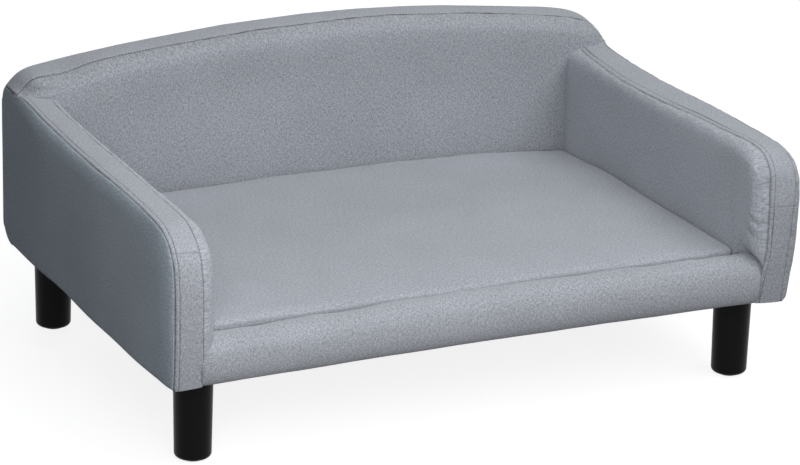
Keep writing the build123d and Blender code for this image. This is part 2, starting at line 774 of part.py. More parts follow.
def cushion_top(inset):
    """The top panel: a crown lofted through arched sections, cut to the outline, edge rounded."""
    low = border_high + inset
    x = cushion_half_x - inset
    sections = []
    for place, rise in zip(crown_place_shares, crown_rise_shares):
        crest = crown_low + rise * cushion_crown - inset
        with BuildSketch(Plane.XZ.offset(-cushion_middle_y - place * cushion_half_y)) as section:
            with BuildLine():
                Polyline((x, crown_low - inset), (x, low), (-x, low), (-x, crown_low - inset))
                ThreePointArc((-x, crown_low - inset), (0, crest), (x, crown_low - inset))
            make_face()
        sections.append(section.sketch)
    with BuildPart() as panel:
        loft(sections)
        extrude(cushion_outline(low, inset), amount=cushion_upper_panel + cushion_crown,
                mode=Mode.INTERSECT)
        fillet(panel.faces().sort_by(Axis.Z)[-1].edges(), radius=cushion_top_round - inset)
    return panel.part


def cushion_body(inset):
    """The cushion's solid, less an even inset: lower panel, drawn-in border, crowned top panel."""
    top = cushion_top(inset)
    with BuildPart() as body:
        extrude(cushion_outline(cushion_low + inset, inset), amount=cushion_lower_panel - 2 * inset)
        fillet(body.faces().sort_by(Axis.Z)[0].edges(), radius=cushion_lower_round - inset)
        extrude(cushion_outline(border_low - seam_tuck, cushion_border_step + inset),
                amount=cushion_border + 2 * seam_tuck)
        add(top)
    return body.part


# Cushion: foam core inside a sewn cover, with the zip's tape let into the rear border
zip_level = (border_low + border_high) / 2
border_rear = cushion_rear - cushion_border_step
tape_x = (zip_margin - cushion_half_x, cushion_half_x - zip_margin)
tape_z = (zip_level - zip_tape_height / 2, zip_level + zip_tape_height / 2)
cushion_core = cushion_body(fabric)
with BuildPart() as cushion_foam:
    add(cushion_core)
save(cushion_foam.part, "cushion_foam")

with BuildPart() as cushion_cover:
    add(cushion_body(0))
    add(cushion_core, mode=Mode.SUBTRACT)
    block(tape_x, (border_rear - fabric, border_rear), tape_z, mode=Mode.SUBTRACT)
save(cushion_cover.part, "cushion_cover")

with BuildPart() as zip_chain:
    block(tape_x, (border_rear - fabric, border_rear), tape_z)
    block((tape_x[0] + zip_end, tape_x[1] - zip_end), (border_rear, border_rear + zip_teeth_rise),
          (zip_level - zip_teeth_height / 2, zip_level + zip_teeth_height / 2))
save(zip_chain.part, "zip_chain")

# Slider: a rounded body that straddles the teeth, parked at the closed end
slider_x = tape_x[1] - zip_end - slider_length
slot_half = zip_teeth_height / 2 + slider_gap
with BuildPart() as zip_slider:
    block((slider_x, slider_x + slider_length),
          (border_rear + slider_gap, border_rear + slider_gap + slider_thickness),
          (zip_level - slider_height / 2, zip_level + slider_height / 2))
    fillet(zip_slider.edges().filter_by(Axis.Y), radius=slider_round)
    block((slider_x - overrun, slider_x + slider_length + overrun),
          (border_rear, border_rear + zip_teeth_rise + slider_gap),
          (zip_level - slot_half, zip_level + slot_half), mode=Mode.SUBTRACT)
save(zip_slider.part, "zip_slider")
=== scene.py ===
# %% [markdown]
# # A dog sofa bed, dressed over its frame
# The timber, the boards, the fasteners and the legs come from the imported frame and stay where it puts
# them. What is made here is what a hand would touch: the sewn covers, the loose boxed cushion with its
# zip, the stitching and the dust cloth below, and a finish for every part. Lengths are metres. +X runs
# to the right of the picture, +Y towards the backrest and +Z up.

# %% Load the frame
import json
import math

import bpy
import numpy as np
from mathutils import Matrix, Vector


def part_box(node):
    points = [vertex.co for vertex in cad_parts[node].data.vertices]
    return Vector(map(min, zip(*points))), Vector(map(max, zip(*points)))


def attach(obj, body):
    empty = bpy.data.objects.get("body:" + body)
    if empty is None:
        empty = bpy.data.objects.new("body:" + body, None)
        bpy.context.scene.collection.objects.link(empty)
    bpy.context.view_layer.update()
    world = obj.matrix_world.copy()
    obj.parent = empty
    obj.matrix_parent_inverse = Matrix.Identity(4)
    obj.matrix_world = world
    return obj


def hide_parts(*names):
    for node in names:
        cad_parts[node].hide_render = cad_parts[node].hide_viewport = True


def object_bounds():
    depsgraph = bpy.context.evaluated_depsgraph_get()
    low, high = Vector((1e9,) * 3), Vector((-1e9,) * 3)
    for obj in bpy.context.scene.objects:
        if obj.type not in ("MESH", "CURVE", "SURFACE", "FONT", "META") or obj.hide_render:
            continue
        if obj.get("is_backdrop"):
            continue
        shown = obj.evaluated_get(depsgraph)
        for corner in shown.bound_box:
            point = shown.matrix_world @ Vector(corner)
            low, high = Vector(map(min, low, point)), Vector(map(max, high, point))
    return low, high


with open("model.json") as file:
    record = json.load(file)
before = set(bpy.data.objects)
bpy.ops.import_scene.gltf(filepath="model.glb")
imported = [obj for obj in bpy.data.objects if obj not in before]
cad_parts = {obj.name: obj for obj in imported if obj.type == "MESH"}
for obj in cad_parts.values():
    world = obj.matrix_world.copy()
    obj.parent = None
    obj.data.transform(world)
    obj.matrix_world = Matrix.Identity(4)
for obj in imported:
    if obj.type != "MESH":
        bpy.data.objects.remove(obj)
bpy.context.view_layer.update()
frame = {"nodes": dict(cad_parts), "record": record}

MM = 0.001
HAND = {1: "right", -1: "left"}
scene = bpy.context.scene

# %% [markdown]
# ## The camera
# The camera comes first, so that each piece can be looked at as soon as it is made. It stands in front
# of the sofa, on the left and a little above, five metres off with a long lens, because the far arm in
# the picture is nearly as large as the near one. The small shift moves the picture's centre.

# %% Camera
def placed(name, data):
    """A new object for the data, put in the scene."""
    thing = bpy.data.objects.new(name, data)
    scene.collection.objects.link(thing)
    return thing


def stand(thing, right, up, back, place):
    """Turns a thing so that its axes lie along three directions, and sets it in its place."""
    thing.matrix_world = Matrix([*zip(right, up, back, place), (0, 0, 0, 1)])


camera_data = bpy.data.cameras.new("camera")
camera = placed("camera", camera_data)
camera_place = (-2.05023, -4.22192, 1.82325)
stand(camera, (0.90284325, -0.42928052, 0.02433719), (0.1227136, 0.31150671, 0.94228708),
      (-0.41208668, -0.84775103, 0.33392029), camera_place)
camera_data.sensor_width = 36.0
camera_data.lens = 164.34
camera_data.shift_x = 0.0085
camera_data.shift_y = 0.00986
camera_data.clip_end = 50
scene.camera = camera
print("camera at", camera_place, "lens", camera_data.lens)

# %% [markdown]
# ## Lines as listed points, surfaces by formula
# A sewn cover is a set of flat cuts of cloth joined along seams, so the seams are placed first, as a few
# points each, and the cloth is worked out between them. A seam could be a Bezier curve, but a plain
# array of points is easier to measure against: every panel asks how far each of its points is from the
# nearest seam, and rounds, sinks or puckers there.

# %% Lines
def line_length(line):
    """The sum of the distances between neighbouring points."""
    return float(np.linalg.norm(np.diff(line, axis=0), axis=1).sum())


def at_shares(line, shares):
    """Points of a line at the given shares of its length, interpolated over the length so far."""
    reach = np.concatenate([[0], np.cumsum(np.linalg.norm(np.diff(line, axis=0), axis=1))])
    return np.stack([np.interp(np.asarray(shares) * reach[-1], reach, part) for part in line.T], axis=-1)


def even_line(line, count):
    """That many points at even distances along a line."""
    return at_shares(line, np.linspace(0, 1, count))


def sewn_line(places, spread=12.0, step=2.0):
    """A smooth line near places given in millimetres: the chords between them, averaged with a bell
    curve of that spread. Past each end the line goes on turned half round, so the ends stay put."""
    line = np.array(places, float)
    line = even_line(line, int(line_length(line) / step) + 1)
    reach = int(3 * spread / step)
    head, tail = 2 * line[0] - line[reach:0:-1], 2 * line[-1] - line[-2:-reach - 2:-1]
    weights = np.exp(-0.5 * (np.arange(-reach, reach + 1) * step / spread) ** 2)
    longer = np.concatenate([head, line, tail])
    smooth = [np.convolve(part, weights / weights.sum(), "valid") for part in longer.T]
    return even_line(np.stack(smooth, axis=1) * MM, len(line))


def from_line(points, line):
    """For each point, its distance to a line of points and its share along it. The nearest of the
    line's points is found first, then the nearer foot on the two segments that meet there."""
    flat = points.reshape(-1, points.shape[-1])
    gap = ((flat[:, None, :] - line[None, :, :]) ** 2).sum(-1)
    nearest = gap.argmin(1)
    best, share = np.sqrt(gap[np.arange(len(flat)), nearest]), nearest.astype(float)
    for first in (np.clip(nearest - 1, 0, len(line) - 2), np.clip(nearest, 0, len(line) - 2)):
        a, b = line[first], line[first + 1]
        t = np.clip(((flat - a) * (b - a)).sum(1) / ((b - a) ** 2).sum(1), 0, 1)
        away = np.linalg.norm(flat - a - t[:, None] * (b - a), axis=1)
        closer = away <= best
        best, share = np.where(closer, away, best), np.where(closer, first + t, share)
    shape = points.shape[:-1]
    return best.reshape(shape), (share / (len(line) - 1)).reshape(shape)


print("one metre of seam takes", len(sewn_line([(0, 0, 0), (1000, 0, 0)])), "points")

# %% Spacing, steps and ripples
def rows_between(length, first, last=None, step=6 * MM):
    """Shares from 0 to 1, one step apart, with quarter-round spacing over the lengths first and last:
    a row at radius times (1 - cosine) for every ten degrees, which a rounded edge needs."""
    def fine(radius):
        return radius * (1 - np.cos(np.radians(np.arange(0, 91, 10))))
    low = fine(first) if first else np.array([0.0])
    high = length - fine(last)[::-1] if last else np.array([length])
    count = max(2, int(round((high[0] - low[-1]) / step)) + 1)
    return np.concatenate([low[:-1], np.linspace(low[-1], high[0], count), high[1:]]) / length


def joined(*parts):
    """Arrays side by side as the last axis of one, each first spread to their common shape."""
    return np.stack(np.broadcast_arrays(*parts), axis=-1)


def unit(vectors):
    """Vectors along the last axis, each divided by its length."""
    return vectors / np.maximum(np.linalg.norm(vectors, axis=-1, keepdims=True), 1e-12)


def ripple(points, scale, seed):
    """Gentle uneven relief from about -1 to 1: the sum of nine sines that run in seeded random
    directions, each with its own phase and a wavelength near the scale, by the root of nine."""
    chance = np.random.default_rng(seed)
    heading = unit(chance.normal(size=(9, points.shape[-1])))
    heading *= (2 * np.pi / scale) * chance.uniform(0.7, 1.4, size=(9, 1))
    return np.sin(points @ heading.T + chance.uniform(0, 2 * np.pi, 9)).sum(-1) / 3


def smooth_step(value, start, end):
    """0 before start, 1 past end, and 3t squared less 2t cubed between. End may be the smaller one."""
    t = np.clip((value - start) / (end - start), 0, 1)
    return t * t * (3 - 2 * t)


def bell(distance, width):
    """A bell curve, which is 1 at no distance and falls as e to minus the square of their quotient."""
    return np.exp(-(distance / width) ** 2)


print("rows over 60 mm with a 10 mm round:", len(rows_between(0.06, 0.01)))

# %% [markdown]
# ## From a grid of points to a piece
# Each panel ends as a grid of points. The grid becomes quads, its rows and columns carry a map in
# metres for the weave, and a mask of painted shade along its seams and creases. Solidify then gives the
# cloth its thickness on the inner side. The mesh could be cut from a block with booleans instead, but a
# grid keeps even quads along every seam, and the weave follows the cloth.

# %% Grids to meshes
def facing(points, outward):
    """Unit normals of a grid: the cross product of its two gradients, turned towards outward."""
    normal = unit(np.cross(np.gradient(points, axis=0), np.gradient(points, axis=1)))
    return normal * (np.sign((normal * np.asarray(outward, float)).sum(-1).mean()) or 1.0)


def raised(points, outward, height):
    """A grid moved outward along its normals by a height at each point."""
    return points + facing(points, outward) * height[..., None]


def grid_faces(rows, columns, closed=False):
    """The quads of a grid whose points are numbered row by row, and whose rows may be closed rings."""
    index = np.arange(rows * columns).reshape(rows, columns)
    if closed:
        index = np.concatenate([index, index[:, :1]], axis=1)
    return np.stack([index[:-1, :-1], index[1:, :-1], index[1:, 1:], index[:-1, 1:]],
                    axis=-1).reshape(-1, 4)


def read(rows, what, width=1, kind=np.float32):
    """One property of all the vertices, loops or faces of a mesh as an array."""
    flat = np.zeros(len(rows) * width, kind)
    rows.foreach_get(what, flat)
    return flat.reshape(-1, width) if width > 1 else flat


def mark_cloth(mesh, corner_map, mask):
    """Gives a mesh the weave's map at its face corners, the mask of painted seam shade and smooth
    shading.
    """
    layer = mesh.uv_layers.new(name="cloth")
    layer.data.foreach_set("uv", corner_map.astype(np.float32).ravel())
    mesh.attributes.new("seam", "FLOAT", "POINT").data.foreach_set("value", mask.astype(np.float32))
    mesh.shade_smooth()


def grid_piece(name, points, cloth_map, outward, painted_seam_shade=None, thickness=1.5 * MM):
    """A mesh of quads over a grid, facing outward, with the weave's map, the painted seam shade mask and
    Solidify.
    """
    rows, columns = points.shape[:2]
    quads = grid_faces(rows, columns)
    across = np.cross(points[1:, :-1] - points[:-1, :-1], points[:-1, 1:] - points[:-1, :-1])
    if (across * facing(points, outward)[:-1, :-1]).sum() < 0:
        quads = quads[:, ::-1]
    mesh = bpy.data.meshes.new(name)
    mesh.from_pydata(points.reshape(-1, 3).tolist(), [], quads.tolist())
    corners = read(mesh.loops, "vertex_index", kind=np.int32)
    mask = np.zeros(rows * columns) if painted_seam_shade is None else painted_seam_shade.ravel()
    mark_cloth(mesh, cloth_map.reshape(-1, 2)[corners], mask)
    piece = placed(name, mesh)
    wall = piece.modifiers.new("cloth thickness", "SOLIDIFY")
    wall.thickness, wall.offset, wall.use_even_offset = thickness, -1.0, False
    return piece


def seam_dip(distance, depth=1.0 * MM, width=1.2 * MM):
    """How far cloth sinks beside a seam: depth times a bell curve of the distance."""
    return depth * bell(distance, width)


def pucker(points, distance, seed, height, reach=14 * MM, scale=16 * MM):
    """Small gathers beside a seam: fine ripple that fades with the distance."""
    return height * ripple(points, scale, seed) * np.exp(-distance / reach)


def dress(piece, material, nodes, body="sofa_frame"):
    """Gives a piece its finish, its body and the nodes that it stands for."""
    piece.data.materials.append(material)
    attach(piece, body)
    if nodes:
        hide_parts(*nodes)
    print(piece.name, len(piece.data.polygons), "faces")


# %% [markdown]
# ## Cloth
# The covers are a melange linen look: blue-grey warp and weft of slightly different shades, with slubs
# that read as fine speckle from a step away. A picture of cloth could be tiled, but it would repeat and
# blur. Here a plain weave is worked out from the map in metres: each thread has its own shade, and the
# thread that lies on top alternates like a chessboard. The same group serves every cover, turned where
# a cut lies the other way.

# %% Node helpers
def plug(node, inputs):
    """Fills a node's inputs, by name or number: a socket is linked, a plain value is set."""
    for name, value in inputs.items():
        if isinstance(value, bpy.types.NodeSocket):
            node.id_data.links.new(value, node.inputs[name])
        else:
            node.inputs[name].default_value = value
    return node


def calc(operation, *values, clamp=False):
    """One Math node on sockets or numbers, in the first socket's tree. Gives its result."""
    tree = next(value for value in values if isinstance(value, bpy.types.NodeSocket)).id_data
    node = plug(tree.nodes.new("ShaderNodeMath"), dict(enumerate(values)))
    node.operation, node.use_clamp = operation, clamp
    return node.outputs[0]


def add(a, b, clamp=False):
    """The sum of two values."""
    return calc("ADD", a, b, clamp=clamp)


def less(a, b):
    """The first value less the second."""
    return calc("SUBTRACT", a, b)


def times(a, b):
    """The product of two values."""
    return calc("MULTIPLY", a, b)


def noise(place, scale, detail=2.0, roughness=0.5):
    """One Noise Texture over a place. Gives its value, from 0 to 1 with a mean near a half."""
    node = place.id_data.nodes.new("ShaderNodeTexNoise")
    plug(node, {"Vector": place, "Scale": scale, "Detail": detail, "Roughness": roughness})
    return node.outputs["Fac"]


def split(vector):
    """The three parts of a vector."""
    return plug(vector.id_data.nodes.new("ShaderNodeSeparateXYZ"), {0: vector}).outputs


def vector_of(*parts):
    """A vector of two or three values, the first of them a socket."""
    node = parts[0].id_data.nodes.new("ShaderNodeCombineXYZ")
    return plug(node, dict(enumerate(parts))).outputs[0]


def blend_colour(share, dark, light):
    """A mix of two colours by a share."""
    node = share.id_data.nodes.new("ShaderNodeMix")
    node.data_type = "RGBA"
    return plug(node, {"Factor": share, 6: (*dark, 1.0), 7: (*light, 1.0)}).outputs[2]


def bump(height, distance, strength):
    """A Bump node over a height. Gives its normal."""
    return plug(height.id_data.nodes.new("ShaderNodeBump"),
                {"Height": height, "Distance": distance, "Strength": strength}).outputs["Normal"]


def new_group(name, inputs, outputs):
    """A node group and its two ends. An input is a number, or a vector if it has no value."""
    group = bpy.data.node_groups.new(name, "ShaderNodeTree")
    for socket, value in inputs.items():
        kind = "NodeSocketVector" if value is None else "NodeSocketFloat"
        made = group.interface.new_socket(name=socket, in_out="INPUT", socket_type=kind)
        if value is not None:
            made.default_value = value
    for socket in outputs:
        group.interface.new_socket(name=socket, in_out="OUTPUT", socket_type="NodeSocketFloat")
    return group, group.nodes.new("NodeGroupInput").outputs, group.nodes.new("NodeGroupOutput")


def grouped(tree, group, inputs):
    """One use of a node group in a tree. Gives its outputs."""
    node = tree.nodes.new("ShaderNodeGroup")
    node.node_tree = group
    return plug(node, inputs).outputs


def plain_material(name):
    """A new material, its tree and its shader."""
    material = bpy.data.materials.new(name)
    material.use_nodes = True
    return material, material.node_tree, material.node_tree.nodes["Principled BSDF"]


# %% Weave group
weave, weave_in, weave_out = new_group(
    "linen weave", {"Map": None, "Threads": 1100.0, "Slub": 1.0}, ["Shade", "Height"])
warp_at, weft_at = (times(part, weave_in["Threads"]) for part in list(split(weave_in["Map"]))[:2])
warp_no, weft_no = calc("FLOOR", warp_at), calc("FLOOR", weft_at)
on_top = calc("PINGPONG", add(warp_no, weft_no), 1.0)
below = less(1.0, on_top)
warp_high, weft_high = (calc("SINE", times(calc("FRACT", at), math.pi)) for at in (warp_at, weft_at))
warp_shade = noise(vector_of(times(warp_no, 0.71), times(weft_at, 0.09)), 1.0, 2.0, 0.7)
weft_shade = noise(vector_of(times(warp_at, 0.09), times(weft_no, 0.73)), 1.0, 2.0, 0.7)
thread_shade = add(times(warp_shade, on_top), times(weft_shade, below))
slub_long = noise(vector_of(times(warp_at, 0.62), times(weft_at, 0.26)), 1.0, 2.0, 0.6)
slub_short = noise(vector_of(times(warp_at, 0.22), times(weft_at, 0.7)), 1.0, 2.0, 0.6)
slubs = times(add(less(slub_long, 0.5), less(slub_short, 0.5)), weave_in["Slub"])
plug(weave_out, {"Shade": add(add(0.5, slubs), times(less(thread_shade, 0.5), 0.9), clamp=True),
                 "Height": add(times(warp_high, on_top), times(weft_high, below))})
print("weave group:", len(weave.nodes), "nodes")


# %% Cover cloth
def cover_cloth(name, dark, light, slub, turned=False):
    """Woven upholstery cloth: two shades mixed by the weave, painted shade from the seam attribute, soft
    sheen.
    """
    material, tree, shader = plain_material(name)
    source = tree.nodes.new("ShaderNodeUVMap")
    source.uv_map = "cloth"
    place = source.outputs[0]
    if turned:
        parts = split(place)
        place = vector_of(parts[1], parts[0])
    cloth = grouped(tree, weave, {"Map": place, "Threads": 1100.0, "Slub": slub})
    worn = noise(place, 9.0, 3.0, 0.6)
    # The seam attribute is painted shade: it darkens the cloth by up to 78 percent in seam grooves,
    # creases and contact lines.
    seam = tree.nodes.new("ShaderNodeAttribute")
    seam.attribute_name = "seam"
    value = less(add(1.0, times(less(worn, 0.5), 0.22)), times(seam.outputs["Fac"], 0.78))
    tone = plug(tree.nodes.new("ShaderNodeHueSaturation"),
                {"Color": blend_colour(cloth["Shade"], dark, light), "Value": value})
    plug(shader, {"Base Color": tone.outputs[0], "Roughness": add(times(worn, 0.1), 0.84),
                  "Normal": bump(cloth["Height"], 0.25 * MM, 0.6), "Specular IOR Level": 0.25,
                  "Sheen Weight": 0.18, "Sheen Roughness": 0.45})
    return material


cloth_smooth = cover_cloth("cloth_smooth", (0.235, 0.252, 0.285), (0.475, 0.491, 0.535), 1.7)
cloth_speckled = cover_cloth("cloth_speckled", (0.200, 0.218, 0.248), (0.495, 0.508, 0.547), 1.6, True)
# A darker copy of the speckled cloth: painted shade for the backrest's front.
cloth_back_painted_shade = cover_cloth("cloth_back_painted_shade", (0.188, 0.205, 0.234), (0.465, 0.478, 0.515), 1.6, True)
# A lighter copy of the smooth cloth: painted light for the inner panels.
cloth_inner_painted_light = cover_cloth("cloth_inner_painted_light", (0.250, 0.268, 0.304), (0.505, 0.522, 0.570), 1.7)
# A bluer copy of the cloth: painted bluish shade for the shaded left side and the rear.
cloth_side_painted_blue_shade = cover_cloth("cloth_side_painted_blue_shade", (0.233, 0.277, 0.323), (0.473, 0.537, 0.601), 2.0)
print("cloths:", [m.name for m in bpy.data.materials if m.name.startswith("cloth")])

# %% [markdown]
# ## Where the seams run
# Each arm has a band over its front and top, sewn to a side panel on the outside and to an inner panel
# towards the seat. The seams are given from the front foot up over the corner and back to the
# backrest. They wander a few millimetres, as sewn seams do, and the two arms aren't quite alike.

# %% Seam lines of the arms
ARM_FRONT, ARM_TOP = -0.312, 0.330
outer_seam = {1: sewn_line([
    (437.5, -302, 116.5), (437, -304.5, 130), (437.5, -307, 160), (440, -309, 190), (442, -310, 220),
    (444, -310, 249), (447.5, -308, 277), (448.5, -301, 300), (448, -287, 315), (447, -256, 324.5),
    (446.5, -206, 326.8), (446.5, -129, 327.3), (446.5, -60, 326.3), (446, 0, 324.3), (446, 60, 322.8),
    (446.5, 150, 323.5), (449.5, 228, 326), (455.5, 250, 328)], 9), -1: sewn_line([
    (-443.5, -300.5, 117), (-443.5, -303, 130), (-443.5, -304, 145), (-443.5, -305.5, 180),
    (-443.5, -305.5, 215), (-443.5, -305, 254), (-443.5, -300, 287), (-444, -283.5, 310),
    (-445, -261, 320.5), (-446, -238, 324.5), (-445, -182, 328), (-444.5, -110, 329.5),
    (-444, -36, 328.3), (-443, 37, 329.5), (-443, 100, 332.5), (-443, 166, 335.5), (-443, 202, 339.5),
    (-444, 236, 343), (-447, 257, 343.5)], 9)}
inner_seam = {1: sewn_line([
    (396.5, -301.5, 118.8), (398, -303.5, 132), (400, -305, 150), (404, -308, 174), (407, -309, 198),
    (407.5, -309, 225), (408, -308, 253), (409.5, -304, 280), (409.5, -303, 302), (409.5, -293, 317),
    (409, -275, 327), (409, -249, 329), (408, -219, 328), (407, -174, 326), (406, -138, 326),
    (405, -103, 324.5), (404, -66, 322), (402, -29, 320), (400, 10, 319.4), (399, 60, 319),
    (400, 106, 318.6), (401, 147, 321), (404, 190, 323), (409, 228, 323.5),
    (413, 246, 328)], 8), -1: sewn_line([
    (-404.5, -302.5, 119), (-405, -304.5, 132), (-406.5, -308, 164), (-407, -309, 200),
    (-407, -308, 251), (-407, -303, 284), (-407, -287, 306), (-407, -254, 322), (-406, -204, 324.5),
    (-405, -156, 324.5), (-404, -61, 326), (-403, 20, 327), (-403, 100, 328.5), (-403, 180, 331.5),
    (-403, 226, 335.5), (-404, 246, 341)], 8)}
rail_section = sewn_line([
    (-262, 147), (-262, 168), (-263, 176), (-267, 182), (-276, 185.2), (-290, 183), (-300, 176.5),
    (-306, 166), (-309, 154), (-309.8, 142), (-308, 132), (-304.5, 124.5), (-300, 120.8), (-293, 121.5),
    (-284, 123.0)], 3.5, 1.0)
for side, name in HAND.items():
    print(name, "arm: outer seam", round(line_length(outer_seam[side]), 3), "m, inner seam",
          round(line_length(inner_seam[side]), 3), "m")


def corner_of(line):
    """The number of the point where an arm's outline turns from upright to level: the nearest to the
    meeting place of its front and its top."""
    return int(np.hypot(line[:, 1] - ARM_FRONT, line[:, 2] - ARM_TOP).argmin())


# %% [markdown]
# ## Arm bands
# The band is a long strip, nearly flat, a little crowned over its foam. It is ruled from one seam to
# the other and lifted by a flat-topped curve, and it sinks into the seam at both edges. On the real arm
# the strip is in two cuts with a cross seam on the front, and the lower cut lies the other way of the
# cloth, so it has a coarser speckle. They are two pieces here as well.

# %% Arm bands
# By side: the cross seam's height, the topstitch's share of the width, how deep the two long seams
# sink, and how strongly painted shade darkens them.
JOIN_HEIGHT = {1: 0.256, -1: 0.295}
TOPSTITCH = {1: 0.16, -1: 0.84}
INNER_DEPTH, OUTER_DEPTH = {1: 1.0, -1: 0.3}, {1: 0.8375, -1: 1.0}
INNER_PAINTED_SHADE, OUTER_PAINTED_SHADE = {1: 0.45, -1: 0.15}, {1: 0.35, -1: 1.0}


def strip_between(first, second, shares, across):
    """Ruled surface between two lines at the same shares of their lengths."""
    a, b = at_shares(first, shares)[:, None], at_shares(second, shares)[:, None]
    return a * (1 - across[:, None]) + b * across[:, None]


def crowned(across, rise):
    """The lift over a strip: the rise times 1 less the fourth power of the share from its middle."""
    return rise * (1 - (2 * across - 1) ** 4)


def width_of(strip):
    """The width of a strip at each of its rows."""
    return np.linalg.norm(strip[:, -1] - strip[:, 0], axis=1)[:, None]


def arm_band(side):
    """Both cuts of one arm's band, split where the inner seam passes the cross seam's height."""
    inner, outer, name = inner_seam[side], outer_seam[side], HAND[side]
    length = line_length(inner)
    upright = slice(0, corner_of(inner))
    join = float(np.interp(JOIN_HEIGHT[side], inner[upright, 2],
                           np.linspace(0, 1, len(inner))[upright]))
    across = np.unique(np.concatenate([rows_between(0.038, 0.004, 0.004, 2 * MM),
                                       TOPSTITCH[side] + np.array([-0.03, -0.015, 0, 0.015, 0.03])]))
    outward = (0, -0.6, 1.0)
    for cut, low, high, cloth, nodes in (
            ("front", 0.0, join, cloth_speckled, [f"arm_front_foam_{name}"]),
            ("top", join, 1.0, cloth_smooth, [f"arm_band_{name}", f"arm_top_foam_{name}"])):
        shares = low + (high - low) * rows_between(length * (high - low), 0.006, 0.006, 3 * MM)
        points = strip_between(inner, outer, shares, across)
        width = width_of(points)
        to_edge = np.minimum(across, 1 - across) * width
        to_join = np.abs(shares - join)[:, None] * length
        to_stitch = np.abs(across - TOPSTITCH[side]) * width
        beside_rail = 0.4 + 0.6 * smooth_step(points[:, :1, 2], 0.150, 0.180)
        depth = np.where(across < 0.5, INNER_DEPTH[side] * beside_rail, OUTER_DEPTH[side])
        height = (crowned(across, 2.0 * MM) - depth * seam_dip(to_edge)
                  - seam_dip(to_join, 0.4 * MM, 1.3 * MM) - seam_dip(to_stitch, 0.45 * MM, 1.1 * MM)
                  + pucker(points, np.minimum(to_edge, to_join), 11 + side, 0.25 * MM)
                  + 0.5 * MM * ripple(points, 0.11, 21 + side))
        points = raised(points, outward, height)
        cloth_map = joined(across * width, shares[:, None] * length)
        # Painted shade: the mask darkens the cloth along both long seams, the cross seam and the
        # topstitch groove.
        shade = np.where(across < 0.5, INNER_PAINTED_SHADE[side] * beside_rail, OUTER_PAINTED_SHADE[side])
        mask = np.maximum(shade * bell(to_edge, 0.9 * MM), 0.3 * bell(to_join, MM))
        mask = np.maximum(mask, 0.5 * bell(to_stitch, 0.6 * MM))
        if cut == "front":
            points = np.concatenate([points[:1] + np.array([0, 12, 5.7]) * MM, points])
            cloth_map = np.concatenate([cloth_map[:1] - np.array([0, 12 * MM]), cloth_map])
            mask = np.concatenate([mask[:1], mask])
        piece = grid_piece(f"arm_band_{cut}_{name}", points, cloth_map, outward, mask)
        dress(piece, cloth, nodes)


for side in HAND:
    arm_band(side)

# %% [markdown]
# ## Side and inner panels
# A side panel is flat over its wadding and turns over a small round into the seam. Its outline has a
# round front corner, so the grid is stretched between four edges: the front, the top, the foot and the
# rear, where the front and the top meet half way round the corner. The depth of the turn then comes
# from each point's true distance to the seam. The inner panel is made the same way, with a softer turn
# and a fuller pad, and the right one has a few pull lines at its lower front corner.

# %% Side panels
# The heel is the round edge under the backrest, and the hem is the cloth turned in below the frame.
# The wall is how far out the cloth lies, at the front, in the middle and at the rear.
FOOT_Z, DECK_Z, REAR_Y = 0.1170, 0.147, 0.3065
HEEL_Y, HEEL_Z, HEEL_ROUND = 0.276, 0.1525, 0.034
HEM_X, HEM_Z = 0.4395, 0.1232
WALL = {1: (0.4605, 0.4530, 0.4585), -1: (0.4515, 0.4535, 0.4500)}
BACK_CORNER = {1: [(457, 255, 328.5), (458, 276, 330), (458.5, 296, 332), (458.5, 306, 333)],
               -1: [(-447.5, 260, 343.5), (-448, 276, 343.5), (-446, 296, 342.5), (-444.5, 306, 341.5)]}


def panel_plan(outline, foot, rear, along_rows, up_rows):
    """A panel's grid in its plane, each point's distance to the outline, and how far out the seam lies
    at its nearest place. The outline parts at its corner into front and top. A point is the mix of
    front and rear by the share along, plus the mix of foot and top by the share up, less the mix of
    the four corners, which both count."""
    corner = corner_of(outline)
    front, top = outline[:corner + 1, 1:], outline[corner:, 1:]
    along = rows_between(line_length(top), *along_rows)
    up = rows_between(line_length(rear), *up_rows)
    f, r, t, b = (at_shares(line, shares) for line, shares in
                  ((front, up), (rear, up), (top, along), (foot, along)))
    a, u = along[:, None, None], up[None, :, None]
    sides = (1 - a) * f[None] + a * r[None]
    ends = (1 - u) * b[:, None] + u * t[:, None]
    corners = (1 - a) * ((1 - u) * f[0] + u * f[-1]) + a * ((1 - u) * r[0] + u * r[-1])
    plan = sides + ends - corners
    away, share = from_line(plan, outline[:, 1:])
    return plan, away, np.interp(share, np.linspace(0, 1, len(outline)), np.abs(outline[:, 0]))


def turned_edge(distance, depth):
    """The share of a quarter round reached at a distance from its edge: the square root of 1 less the
    square of what is left of the depth."""
    left = 1 - np.clip(distance / depth, 0, 1)
    return np.sqrt(np.maximum(1 - left ** 2, 0))


def heel_round(last, count):
    """Y and Z along the rounded heel, from straight below its middle to an angle in degrees."""
    turn = np.radians(np.linspace(0, last, count))
    return HEEL_Y + HEEL_ROUND * np.sin(turn), HEEL_Z - HEEL_ROUND * np.cos(turn)


